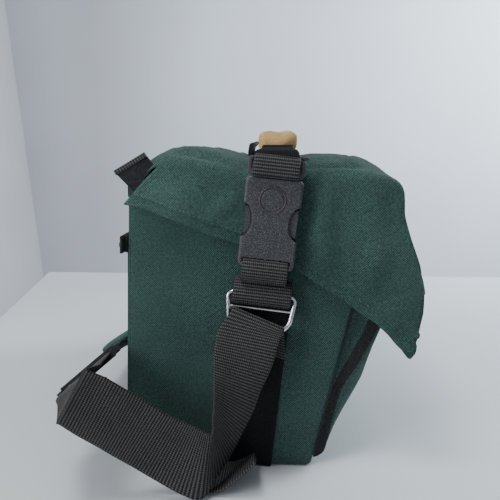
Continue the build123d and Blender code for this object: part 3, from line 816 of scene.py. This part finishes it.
def skirt_point(side, share, t, x, y, z):
    """One point of the wings or the flap, t from the top edge to the hem."""
    if side == "front":
        to_corner = min(share, 1 - share) * 2 * hood_half
    else:
        to_corner = (1 - share) * 0.20
    t *= 1 - 0.045 * hump(to_corner, 0.0, 0.007)
    if side == "front":
        py, pz = along_line(flap_line, t)
        middle = math.sin(math.pi * share)
        py += 0.006 * middle * t ** 1.3
        py -= wrinkle((x, 0, pz), 0.05, 0.006, 8.3) * middle * t
        pz += (z - flap_line[0][1]) * (1 - t) + 0.002 * middle * t
        flare = 0.0050 * t ** 1.5 * (1 - middle) ** 3
        return x + math.copysign(flare, x), py, pz
    hem_y, hem_z = along_line(wing_hem, share)
    py = y + (hem_y - y) * t
    pz = z + (hem_z - z) * t
    edge_y, edge_z = along_line(flap_line, t)
    pull = share ** 5
    py += (edge_y - (hood_front + (flap_line[-1][0] - hood_front) * t)) * pull
    pz += (edge_z - (flap_line[0][1] + (flap_line[-1][1] - flap_line[0][1]) * t)) * pull
    under_buckle = hump(py, band_y(pz) - 0.002, 0.031, 4)
    out = 0.0050 * t ** 1.5 * share ** 5
    puff = 0.0088 * hump(py, 0.030, 0.032) * hump(t, 0.80, 0.36)
    rising = math.sin(math.pi * min(1, t * 1.15))
    puff += 0.0046 * hump(py, -0.088, 0.009) * rising ** 0.7
    puff -= 0.0014 * hump(py, -0.110, 0.010) * math.sin(math.pi * t)
    puff += 0.0022 * hump(py, -0.132, 0.010) * rising
    crease = wrinkle((0, py, pz), 0.028, 0.0034, 1.9) * math.sin(math.pi * t * 0.9)
    slant = math.sin(2 * math.pi * (0.50 * py + 0.86 * pz) / 0.027 + 6 * wrinkle((0, py, pz), 0.05, 1.0))
    crease += 0.0011 * slant * hump(py, 0.012, 0.030) * math.sin(math.pi * t)
    hem_flare = 0.0018 * t ** 20
    px = hood_half + out + max(-0.0006, (puff + crease + hem_flare) * (1 - under_buckle))
    return math.copysign(px, x), py, pz


def hem_relief(from_hem):
    """The doubled hem stands proud, with a groove where its stitches pull in."""
    double = 0.0009 if from_hem < hem_width else 0.0
    return double - 0.0013 * hump(from_hem, hem_width, 0.0013)


def make_hood():
    """Grid of the top, then the skirt's columns down its left, front and right edges."""
    turns = [fold_radius * (1 - math.cos(math.radians(a))) for a in range(0, 90, 11)]
    inner = np.linspace(-hood_half + fold_radius * 1.15, hood_half - fold_radius * 1.15, 108)
    xs = [-hood_half + d for d in turns] + list(inner) + [hood_half - d for d in reversed(turns)]
    ys = np.linspace(hood_back, hood_front, 84)
    columns, rows = len(xs), len(ys)
    points = [(x, y, top_height(x, y)) for y in ys for x in xs]
    faces = [tuple(reversed(face)) for face in grid_faces(rows, columns)]
    near = [hump(y, hood_front, 0.009) + 0.5 * hump(hood_half - abs(x), 0.0, 0.006)
            for y in ys for x in xs]
    first = int(np.argmax(ys <= tab_foot))
    span = rows - 1 - first
    rim_list = [(row * columns, "left", (row - first) / span) for row in range(first, rows)]
    rim_list += [((rows - 1) * columns + c, "front", c / (columns - 1)) for c in range(1, columns)]
    rim_list += [(row * columns + columns - 1, "right", (row - first) / span)
                 for row in reversed(range(first, rows - 1))]
    low_rows = [0.0140, 0.0118, 0.0106, 0.0100, 0.0095, 0.0089, 0.0080, 0.0062, 0.0042, 0.0024,
                0.0010, 0.0]
    high_rows = 42
    previous = None
    line = []
    for index, side, share in rim_list:
        x, y, z = points[index]
        ends = [Vector(skirt_point(side, share, t, x, y, z)) for t in np.linspace(0, 1, 12)]
        length = sum((b - a).length for a, b in zip(ends, ends[1:]))
        stops = list(np.linspace(0, 1 - low_rows[0] / length, high_rows)[1:])
        stops += [1 - d / length for d in low_rows[1:]]
        column = [index]
        for t in stops:
            px, py, pz = skirt_point(side, share, t, x, y, z)
            relief = hem_relief((1 - t) * length)
            forward = 1.0 if side == "front" else share ** 12
            py -= relief * forward
            px += math.copysign(relief * (abs(2 * share - 1) ** 12 if side == "front" else 1), px)
            column.append(len(points))
            points.append((px, py, pz))
            near.append(hump(t * length, 0.0, 0.007))
        if previous is not None:
            faces += zip(previous, previous[1:], column[1:], column)
        previous = column
        seam = Vector(points[column[high_rows + 3]])
        line.append(seam + Vector((0, -0.0002, 0) if side == "front"
                                  else (math.copysign(0.0002, seam.x), 0, 0)))
    points = relax(points, faces, np.clip(near, 0, 1), 5)
    hood = sheet_piece("hood", points, faces, green, 0.0017, "lid",
                       ["lid_flap", "left_wing", "right_wing"])
    stitches = stitching("hood_hem_stitches", line, "lid", green_thread, 0.00050)
    lid_board()


def lid_board():
    """Padded underside of the lid: a rounded slab."""
    points = []
    low = rim + 0.0008
    levels = [(low, 0.014), (low + 0.0003, 0.006), (low + 0.0012, 0.0042), (low + 0.0022, 0.006),
              (low + 0.0024, 0.014)]
    for z, inset in levels:
        for x, y, _ in box_ring(hood_half - 0.001 - inset, hood_front + 0.002 + inset,
                                hood_back - inset, 0.010):
            points.append((x, y, z))
    faces = capped_faces(len(levels), len(points) // len(levels))
    board = new_piece("lid_board", points, faces, lining, "lid", ["lid_top"])


def make_hinge_strip():
    """Cloth hinge along the back edge, from the back panel to the lid."""
    reach = half_length - 0.004
    profile = [(back_y(0.236) + 0.0012, 0.236), (back_y(0.246) + 0.0014, 0.246), (0.0712, 0.2515),
               (0.0690, 0.2560)]
    pairs = [((reach, y, z), (-reach, y, z)) for y, z in profile]
    strip = band("hinge_strip", pairs, None, material=green, thick=0.0012, rib=0.0)
    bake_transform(strip)


def make_rear_tabs():
    """Looped-face tab at each back corner of the lid, bound along its top edge."""
    start, end, foot_end, foot_start = [np.array(corner) for corner in (
        (0.0814, 0.2558), (0.0560, 0.2706), (0.0490, 0.2620), (0.0660, 0.2400))]
    rows = 14
    size = rows * rows
    rim_ring = ([i * rows for i in range(rows)] + [(rows - 1) * rows + j for j in range(1, rows)]
                + [i * rows + rows - 1 for i in reversed(range(rows - 1))]
                + list(reversed(range(1, rows - 1))))
    faces = grid_faces(rows, rows)
    faces += [tuple(size + i for i in reversed(face)) for face in faces]
    faces += [(a, b, size + b, size + a) for a, b in zip(rim_ring, rim_ring[1:] + rim_ring[:1])]
    offset = np.array([end[1] - start[1], start[0] - end[0]])
    offset *= 0.0021 / np.linalg.norm(offset)
    for name, side in (("left", -1), ("right", 1)):
        points = []
        for depth in (0.0, 0.0014):
            for s in np.linspace(0, 1, rows):
                top = start + (end - start) * s
                foot = foot_start + (foot_end - foot_start) * s
                x = hood_half - 0.0022 + depth + 0.0022 * math.sin(math.pi * s * 0.6) * (1 - s)
                points += [(side * x, *(top + (foot - top) * t)) for t in np.linspace(0, 1, rows)]
        new_piece(f"{name}_tab", points, faces, hook_loop, "lid", [f"{name}_rear_tab"],
                  smooth=False)
        x = side * (hood_half - 0.0012)
        edges = [((x, *(spot + offset)), (x, *(spot - offset))) for spot in (start, end)]
        band(f"{name}_tab_binding", edges, "lid", thick=0.0036, pitch=0.0016, rib=0.0002)


def make_hook_patch():
    """Hook strip sewn inside the flap, just above its hem."""
    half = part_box("flap_hook_patch")[1].x
    points = []
    for t in np.linspace(0.80, 0.93, 8):
        for x in np.linspace(-half, half, 60):
            share = (x / hood_half + 1) / 2
            px, py, pz = skirt_point("front", share, t, x, hood_front, top_height(x, hood_front))
            points.append((px, py + 0.0022, pz))
    faces = [tuple(reversed(face)) for face in grid_faces(8, 60)]
    sheet_piece("flap_hooks", points, faces, hook_loop, 0.0012, "lid",
                ["flap_hook_patch"])


# ---- webbing on the ends, rings, buckles ----
def climb(side, stops, width):
    """Edge pairs of webbing that climbs one end, from (height, distance from the middle) stops."""
    rows = [(side * out, band_y(z), z, 0.0, -side, -side * band_lean) for z, out in stops]
    return edges_of(rows, width)


def make_end_webbing(name, side):
    across, up, out, centre = local_end(side)
    face = half_length + 0.0012
    # The load band takes the darker webbing: painted shade for where it lies in the strap's shadow.
    band(f"{name}_load_band", climb(side, [(0.0025, face), (0.05, face), (0.11, face), (0.164, face)],
                                    0.050),
         "root", material=shaded_fine_webbing, pitch=0.0016, rib=0.00018, replaces=[f"{name}_load_webbing"])
    fold = [(0.1685, 0.1775), (0.1665, 0.1838), (0.1622, 0.1882), (0.1572, 0.1896), (0.1520, 0.1880),
            (0.1490, 0.1840), (0.1480, 0.1790)]
    band(f"{name}_ring_fold", climb(side, fold, 0.048), "root", replaces=[f"{name}_ring_loop"])
    for row, z, reach in ((0, 0.1655, 0.1862), (1, 0.1525, 0.1893)):
        middle = Vector((side * reach, band_y(z), z))
        stitching(f"{name}_ring_stitches_{row}", [middle - across * 0.022, middle + across * 0.022],
                  "root", black_thread, 0.0004, length=0.0022, gap=0.0010)
    wrap = [(0.1660, 0.1792), (0.1672, 0.1835), (0.1695, 0.1890), (0.1740, 0.1925), (0.1795, 0.1935),
            (0.1842, 0.1925), (0.1868, 0.1890), (0.1872, 0.1850)]
    band(f"{name}_buckle_wrap", climb(side, wrap, 0.037), "root", replaces=[f"{name}_buckle_webbing"])
    rounded_copy(f"{name}_buckle_female", f"{name}_female", "root", plastic, passes=5)
    mark = [centre + up * 0.019 + out * 0.0059 + across * (0.0102 * math.cos(a))
            + up * (0.0102 * math.sin(a)) for a in np.linspace(0, 2 * math.pi, 49)[:-1]]
    tube(f"{name}_buckle_mark", mark, 0.0007, plastic, "root", closed=True)
    rounded_copy(f"{name}_buckle_male", f"{name}_male", "handle", plastic, voxel=0.0006)


def make_handle():
    """Carrying handle: webbing folded round each buckle, running under a suede sleeve."""
    middle = band_y(0.2616)
    half = [(-0.1850, 0.2602, 0.0185), (-0.1886, 0.2592, 0.0185), (-0.1908, 0.2610, 0.0185),
            (-0.1912, 0.2655, 0.0182), (-0.1900, 0.2698, 0.0178), (-0.1862, 0.2722, 0.0172),
            (-0.1800, 0.2732, 0.0165), (-0.1600, 0.2738, 0.0158), (-0.1250, 0.2744, 0.0155),
            (-0.0800, 0.2762, 0.0155), (-0.0560, 0.2790, 0.0155), (0.0, 0.2830, 0.0155)]
    pairs = [((x, middle + w, z), (x, middle - w, z)) for x, z, w in half]
    pairs += mirrored(pairs[-2::-1])
    # The handle band and its curled edges take the darker webbing: painted shade for their shadowed place.
    band("handle_band", pairs, "handle", material=shaded_fine_webbing, replaces=["handle_webbing"])
    for name, side in (("left", -1), ("right", 1)):
        wrap = [(0.2548, 0.1902), (0.2538, 0.1922), (0.2552, 0.1942), (0.2600, 0.1948),
                (0.2648, 0.1942), (0.2680, 0.1925), (0.2688, 0.1895), (0.2680, 0.1866)]
        band(f"{name}_handle_wrap", climb(side, wrap, 0.0360), "handle")
        rod = [(side * 0.1868, middle + y, 0.2672) for y in (-0.0252, -0.0245, -0.0170, 0.0150)]
        tube(f"{name}_keeper", rod, [0.0010, 0.0016, 0.0017, 0.0017], plastic, "handle", sides=12)
        curl = [(side * 0.1740, middle + 0.0190, 0.2660), (side * 0.1720, middle + 0.0205, 0.2720),
                (side * 0.1670, middle + 0.0200, 0.2775), (side * 0.1560, middle + 0.0165, 0.2800)]
        tube(f"{name}_handle_edge", curl, [0.0018, 0.0030, 0.0028, 0.0016], shaded_fine_webbing, "handle",
             sides=10)
    make_grip(middle)


def make_grip(middle):
    """Suede sleeve: a saddle-topped pad with a wavy lower edge, drooping at its ends."""
    low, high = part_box("handle_grip")
    half = (high.y - low.y) / 2 + 0.0006
    sections = 56
    around = 64
    level = (high.z + low.z) / 2
    points = []
    for step in range(sections):
        t = step / (sections - 1)
        x = low.x + (high.x - low.x) * t
        end = min(1.0, min(t, 1 - t) / 0.05)
        swell = 0.93 + 0.07 * math.sin(math.pi * end / 2)
        droop = 0.0024 * abs(2 * t - 1) ** 2
        for spoke in range(around):
            angle = 2 * math.pi * spoke / around
            s = math.sin(angle)
            y = half * swell * signed_power(math.cos(angle), 0.5)
            if s > 0:
                y *= 1 - 0.17 * s
            u = y / half
            top = high.z - 0.0002 - 0.0020 * hump(u, 0.0, 0.34) - 0.0012 * abs(u) ** 3
            bottom = low.z - 0.0072 + 0.0018 * math.sin(u * 4.4 + 0.6)
            z = level + (top - level if s > 0 else level - bottom) * signed_power(s, 0.5)
            z += wrinkle((x, y, z), 0.012, 0.0007, 2.2) - droop
            points.append((x, middle + y, z))
    grip = new_piece("suede_grip", points, capped_faces(sections, around), suede, "handle",
                     ["handle_grip"])


def local_end(side):
    """Frame of one buckle: across towards the front, up its length, and outwards."""
    across = Vector((0, -1, -band_lean)).normalized()
    up = Vector((0, -band_lean, 1)).normalized()
    return across, up, Vector((side, 0, 0)), Vector((side * 0.1854, band_y(0.2165), 0.2165))


def make_pads(name, side):
    """Ribbed finger pads that fill the female's side windows, one on each prong; sizes in millimetres."""
    across, up, out, centre = local_end(side)
    window_reach, window_bow, window_half = 23.0, 8.6, 13.5
    clearance = 0.75
    inner_limit = 21.2
    middle = 18.5
    lift = 1.5
    outline = [(min(window_reach - (window_bow - clearance) * math.cos(angle), inner_limit),
                (window_half - clearance) * math.sin(angle))
               for angle in np.linspace(-math.pi / 2 * 0.93, math.pi / 2 * 0.93, 26)]
    layers = [(-3.42, 1.7), (-3.38, 0.8), (-3.0, 0.1), (-2.2, 0.0), (2.2, 0.0), (3.0, 0.1), (3.38, 0.8),
              (3.42, 1.7)]
    for label, hand in (("front", 1), ("back", -1)):
        def spot(a, b, c):
            return centre + across * (hand * a / 1000) + up * (b / 1000) + out * (c / 1000)

        points = []
        for depth, inset in layers:
            for a, b in outline:
                scale = max(0.0, 1 - inset / max(math.hypot(a - middle, b), 0.1))
                points.append(spot(middle + (a - middle) * scale, b * scale + lift, depth))
        body = f"{name}_prong_{label}_body"
        new_piece(f"{name}_pad_{label}", points, capped_faces(len(layers), len(outline)), plastic, body)
        for step in range(5):
            rib = [spot(20.9, (step - 2) * 3.6 + lift, c) for c in (-2.6, 0.0, 2.6)]
            tube(f"{name}_pad_{label}_rib_{step}", rib, 0.0006, plastic, body)


def dress_hardware():
    """The CAD's own hardware keeps its shape and gets its finish."""
    finishes = {"d_ring": steel, "prong": plastic, "strap_adjuster": dark_plastic, "zip_slider": steel,
                "zip_pull": steel}
    for name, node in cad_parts.items():
        for key, material in finishes.items():
            if key in name:
                node.data.materials.clear()
                node.data.materials.append(material)
                break


# ---- front pocket ----
def pocket_depth(z):
    """Depth of the pocket's middle in front of the front panel."""
    return float(np.interp(z, [0.008, 0.075, 0.130, 0.165], [0.0096, 0.033, 0.036, 0.032]))


pouch_half = 0.1705
zip_side = [((-0.0838, 0.0066), (-0.0880, 0.0078)), ((-0.0848, 0.0118), (-0.0942, 0.0150)),
            ((-0.0895, 0.0400), (-0.1000, 0.0430)), ((-0.0970, 0.0659), (-0.1075, 0.0715)),
            ((-0.1079, 0.0911), (-0.1215, 0.0955)), ((-0.1215, 0.1174), (-0.1325, 0.1180)),
            ((-0.1282, 0.1330), (-0.1385, 0.1330)), ((-0.1340, 0.1500), (-0.1438, 0.1500)),
            ((-0.1382, 0.1622), (-0.1482, 0.1630))]


def seam_y(edge, z):
    """Where the zipper's inner (0) or outer (1) edge lies at one height."""
    return float(np.interp(z, [row[edge][1] for row in zip_side], [row[edge][0] for row in zip_side]))


def pouch_face(s, z):
    """Point on the pouch's full face: s from -1 to 1 across it."""
    edge = seam_y(1, z)
    full = 1 - abs(s) ** 12
    front = front_y(z) - pocket_depth(z) - 0.0010
    lift = math.sin(math.pi * (z - 0.012) / 0.1535)
    y = edge + (front - edge) * full
    y += wrinkle((s * 0.17, 0, z), 0.05, 0.006, 4.4) * lift * full
    x = pouch_half * s + math.copysign(0.0012 * lift * abs(s) ** 9, s)
    return x, y, z


def make_front_pocket():
    """Soft pouch: gussets at the ends, a zipper up both sides and over the top, and a full face."""
    make_pocket_zip()
    make_pocket_face()
    make_pocket_gussets()
    for node in ("front_pocket_roof", "front_pocket_floor"):
        rounded_copy(node, f"{node}_cloth", "root", green, voxel=0.0010, passes=2)


def make_pocket_zip():
    path = [((-pouch_half, *a), (-pouch_half, *b)) for a, b in zip_side]
    path += [((-0.1675, -0.1390, 0.1662), (-0.1675, -0.1492, 0.1668)),
             ((-0.1500, -0.1395, 0.1672), (-0.1500, -0.1495, 0.1676))]
    path += mirrored(path[::-1])
    band("pocket_zip_tape", path, "root", material=tape, thick=0.0018, pitch=0.0016, rib=0.00010,
         replaces=["front_zip_tape"])
    zip_teeth("pocket_zip_teeth", path[1:-1])


def make_pocket_face():
    rows, columns = 46, 90
    points = [pouch_face(s, z) for z in np.linspace(0.012, 0.1655, rows)
              for s in np.linspace(-1, 1, columns)]
    face = sheet_piece("pocket_face", points, grid_faces(rows, columns), green, 0.0015, "root",
                       ["front_pocket_face"])
    patch_low, patch_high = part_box("front_loop_patch")
    rows, columns = 10, 60
    points = []
    for z in np.linspace(patch_low.z, patch_high.z, rows):
        for x in np.linspace(patch_low.x, patch_high.x, columns):
            px, py, pz = pouch_face(x / pouch_half, z)
            points.append((px, py - 0.0015, pz))
    loops = sheet_piece("pocket_loops", points, grid_faces(rows, columns), hook_loop, 0.0012, "root",
                        ["front_loop_patch"])


def make_pocket_gussets():
    rows, columns = 40, 8
    points = []
    faces = []
    for side in (-1, 1):
        start = len(points)
        for z in np.linspace(0.008, 0.166, rows):
            edge = seam_y(0, z)
            seam = front_y(z) + 0.0005
            for t in np.linspace(0, 1, columns):
                y = seam + (min(edge, seam - 0.0008) - seam) * t
                sag = -0.0018 * math.sin(math.pi * t) * min(1.0, (seam - edge) / 0.010)
                points.append((side * (0.1728 - 0.0018 * t + sag), y, z))
        block = [tuple(start + i for i in face) for face in grid_faces(rows, columns)]
        faces += block if side < 0 else [tuple(reversed(face)) for face in block]
    gussets = sheet_piece("pocket_gussets", points, faces, green, 0.0012, "root",
                          ["front_pocket_gussets", "front_pocket_cheeks"])


def zip_teeth(name, path):
    """Coil down the middle of a zipper tape: one short bar for each turn."""
    lift = 0.0016
    first, second, _ = smooth_rows(path, 0.0019)
    middle, half, out = band_frame(first, second)
    points = []
    faces = []
    for spot, side, normal in zip(middle, half, out):
        across = Vector(side).normalized()
        normal = Vector(normal)
        along = across.cross(normal).normalized()
        centre = Vector(spot) + normal * lift / 2
        start = len(points)
        for a, b, c in ((-1, -1, -1), (1, -1, -1), (1, 1, -1), (-1, 1, -1),
                        (-0.8, -0.6, 1), (0.8, -0.6, 1), (0.8, 0.6, 1), (-0.8, 0.6, 1)):
            points.append(centre + across * (a * 0.0021) + along * (b * 0.00062)
                          + normal * (c * lift / 2))
        faces += [tuple(start + i for i in f) for f in
                  ((3, 2, 1, 0), (4, 5, 6, 7), (0, 1, 5, 4), (1, 2, 6, 5), (2, 3, 7, 6), (3, 0, 4, 7))]
    new_piece(name, points, faces, black_thread, "root", smooth=False)


# ---- rear pocket ----
def make_rear_pocket():
    """Flat pocket on the back with a zipper along its top."""
    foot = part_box("rear_pocket_panel")[0].z
    rows, columns = 44, 80
    points = []
    for z in np.linspace(foot, 0.191, rows):
        lift = min(1.0, (z - foot) / 0.020)
        for s in np.linspace(-1, 1, columns):
            fill = (1 - abs(s) ** 8) * math.sin(lift * math.pi / 2)
            puff = 0.0014 + 0.0052 * fill + wrinkle((s * 0.17, 3, z), 0.06, 0.0016, 6.1) * fill
            points.append((s * 0.1715, back_y(z) + puff, z))
    faces = [tuple(reversed(face)) for face in grid_faces(rows, columns)]
    cloth = sheet_piece("rear_pocket_cloth", points, faces, green, 0.0012, "root",
                        ["rear_pocket_panel", "rear_pocket_edges", "rear_pocket_roof"])
    z_low, z_high = 0.1895, 0.2040
    path = [((x, back_y(z_low) + lift, z_low), (x, back_y(z_high) + lift, z_high)) for x, lift in (
        (0.1735, 0.0020), (0.1520, 0.0058), (-0.1520, 0.0058), (-0.1660, 0.0036), (-0.1735, 0.0016))]
    band("rear_zip_band", path, "root", material=tape, thick=0.0016, pitch=0.0016, rib=0.0003,
         replaces=["rear_zip_tape"])
    zip_teeth("rear_zip_teeth", path)


# ---- shoulder strap ----
ring_end = [((-0.1868, -0.0160, 0.1180), (-0.1868, -0.0580, 0.1030)),
            ((-0.1872, -0.0145, 0.1400), (-0.1872, -0.0572, 0.1235)),
            ((-0.1908, -0.0138, 0.1484), (-0.1908, -0.0568, 0.1308)),
            ((-0.1945, -0.0139, 0.1462), (-0.1945, -0.0567, 0.1286)),
            ((-0.1990, -0.0040, 0.1317), (-0.1975, -0.0526, 0.1212)),
            ((-0.2050, -0.0009, 0.1145), (-0.1970, -0.0469, 0.0996)),
            ((-0.2110, -0.0008, 0.0987), (-0.1950, -0.0380, 0.0783)),
            ((-0.2160, -0.0015, 0.0883), (-0.1945, -0.0325, 0.0618)),
            ((-0.2200, -0.0019, 0.0764), (-0.1960, -0.0229, 0.0415)),
            ((-0.2235, -0.0015, 0.0670), (-0.2010, -0.0163, 0.0295)),
            ((-0.2255, -0.0017, 0.0592), (-0.2070, -0.0110, 0.0216)),
            ((-0.2262, -0.0012, 0.0560), (-0.2170, -0.0028, 0.0119)),
            ((-0.2266, -0.0002, 0.0556), (-0.2250, 0.0035, 0.0034)),
            ((-0.2268, 0.0015, 0.0565), (-0.2310, 0.0098, 0.0020))]
left_band = [((-0.2275, 0.0055, 0.0592), (-0.2310, 0.0221, 0.0058)),
             ((-0.2290, 0.0158, 0.0652), (-0.2300, 0.0401, 0.0151)),
             ((-0.2330, 0.0329, 0.0750), (-0.2330, 0.0601, 0.0298)),
             ((-0.2370, 0.0470, 0.0873), (-0.2370, 0.0735, 0.0407)),
             ((-0.2415, 0.0604, 0.0983), (-0.2415, 0.0863, 0.0521)),
             ((-0.2460, 0.0735, 0.1091), (-0.2460, 0.0987, 0.0627)),
             ((-0.2500, 0.0840, 0.1158), (-0.2500, 0.1088, 0.0727)),
             ((-0.2510, 0.0862, 0.1172), (-0.2510, 0.1112, 0.0742)),
             ((-0.2488, 0.0866, 0.1172), (-0.2488, 0.1114, 0.0744))]
back_route = [(-0.236, 0.0985, 0.0976, 0.00, 0.70, -0.71), (-0.224, 0.1030, 0.0960, 0.00, 0.76, -0.65),
              (-0.205, 0.1051, 0.0932, 0.00, 0.76, -0.65), (-0.178, 0.1080, 0.0892, 0.00, 0.76, -0.65),
              (-0.150, 0.1110, 0.0850, 0.00, 0.76, -0.65), (-0.136, 0.1125, 0.0829, 0.00, 0.76, -0.65),
              (-0.104, 0.1140, 0.0750, 0.00, 0.86, -0.51)]
middle_route = [(-0.1034, 0.1140, 0.0750, 0.00, 0.86, -0.51), (-0.040, 0.1170, 0.0620, 0.00, 0.84, -0.54),
                (0.030, 0.1170, 0.0510, 0.00, 0.82, -0.57), (0.130, 0.1170, 0.0420, 0.00, 0.80, -0.60)]
right_route = [(0.1306, 0.1170, 0.0420, 0.00, 0.80, -0.60), (0.165, 0.1150, 0.0390, 0.05, 0.66, -0.75),
               (0.196, 0.1020, 0.0350, 0.08, 0.40, -0.91), (0.217, 0.0780, 0.0320, 0.08, 0.16, -0.98),
               (0.227, 0.0420, 0.0310, 0.04, 0.08, -0.99)]
tail_route = [(-0.205, 0.1062, 0.0758, 0.00, 0.76, -0.65), (-0.220, 0.1010, 0.0798, 0.00, 0.72, -0.69),
              (-0.236, 0.0940, 0.0856, 0.00, 0.66, -0.75)]
tail_end = [((-0.2400, 0.0730, 0.1040), (-0.2400, 0.0980, 0.0610)),
            ((-0.2330, 0.0600, 0.0920), (-0.2330, 0.0830, 0.0480)),
            ((-0.2200, 0.0420, 0.0700), (-0.2240, 0.0600, 0.0280)),
            ((-0.2050, 0.0280, 0.0400), (-0.2220, 0.0420, 0.0100)),
            ((-0.1900, 0.0200, 0.0150), (-0.2215, 0.0260, 0.0045)),
            ((-0.1820, 0.0060, 0.0045), (-0.2225, 0.0080, 0.0035)),
            ((-0.1800, -0.0070, 0.0035), (-0.2238, -0.0060, 0.0048)),
            ((-0.1800, -0.0160, 0.0050), (-0.2252, -0.0165, 0.0135)),
            ((-0.1800, -0.0250, 0.0090), (-0.2258, -0.0265, 0.0230)),
            ((-0.1790, -0.0335, 0.0145), (-0.2250, -0.0352, 0.0320))]


def blend_to_ring(piece):
    """Bakes the strap piece's placement into its mesh; the piece is given no body."""
    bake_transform(piece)


def make_strap():
    """Shoulder strap: from the left ring round to the back, under the pad, and to the right ring."""
    strap_width = 0.050
    left = ring_end + left_band + edges_of(back_route, strap_width)
    piece = band("strap_left_band", left, None, replaces=["strap_left", "left_strap_loop"])
    blend_to_ring(piece)
    band("strap_middle_band", edges_of(middle_route, strap_width), "root", replaces=["strap_middle"])
    right = edges_of(right_route, strap_width) + mirrored(ring_end[::-1])
    piece = band("strap_right_band", right, None, replaces=["strap_right", "right_strap_loop"])
    blend_to_ring(piece)
    band("strap_tail_band", edges_of(tail_route, strap_width) + tail_end, "root",
         replaces=["strap_tail"])


def make_pad():
    """Green padded sleeve on the strap, crowned along its length."""
    rows = []
    for x, y, z, ax, ay, az in [(-0.052, 0.1165, 0.0640, 0.00, 0.84, -0.54)] + middle_route[2:]:
        out = Vector((1, 0, 0)).cross(Vector((ax, ay, az))).normalized() * 0.0072
        rows.append((x, y + out.y, z + out.z, ax, ay, az))
    first, second, runs = smooth_rows(edges_of(rows, 0.062), 0.004)
    middle, half, out = band_frame(first, second)
    around = 40
    points = []
    for spot, side, lift, t in zip(middle, half, out, runs / runs[-1]):
        end = math.sin(min(1.0, min(t, 1 - t) / 0.09) * math.pi / 2)
        for spoke in range(around):
            angle = 2 * math.pi * spoke / around
            a = (0.80 + 0.20 * end) * signed_power(math.cos(angle), 0.6)
            b = 0.0052 * (0.35 + 0.65 * end) * signed_power(math.sin(angle), 0.75)
            points.append(spot + side * a + lift * b)
    pad = new_piece("shoulder_pad_sleeve", points, capped_faces(len(runs), around), green, "root",
                    ["shoulder_pad"])


aim_camera()
set_stage()
set_lights()
dress_hardware()
make_body()
make_divider("left_divider", -0.062)
make_divider("right_divider", 0.058)
make_hood()
make_hinge_strip()
make_rear_tabs()
make_hook_patch()
for end_name, end_side in (("left", -1), ("right", 1)):
    make_end_webbing(end_name, end_side)
    make_pads(end_name, end_side)
make_handle()
make_front_pocket()
make_rear_pocket()
make_strap()
make_pad()
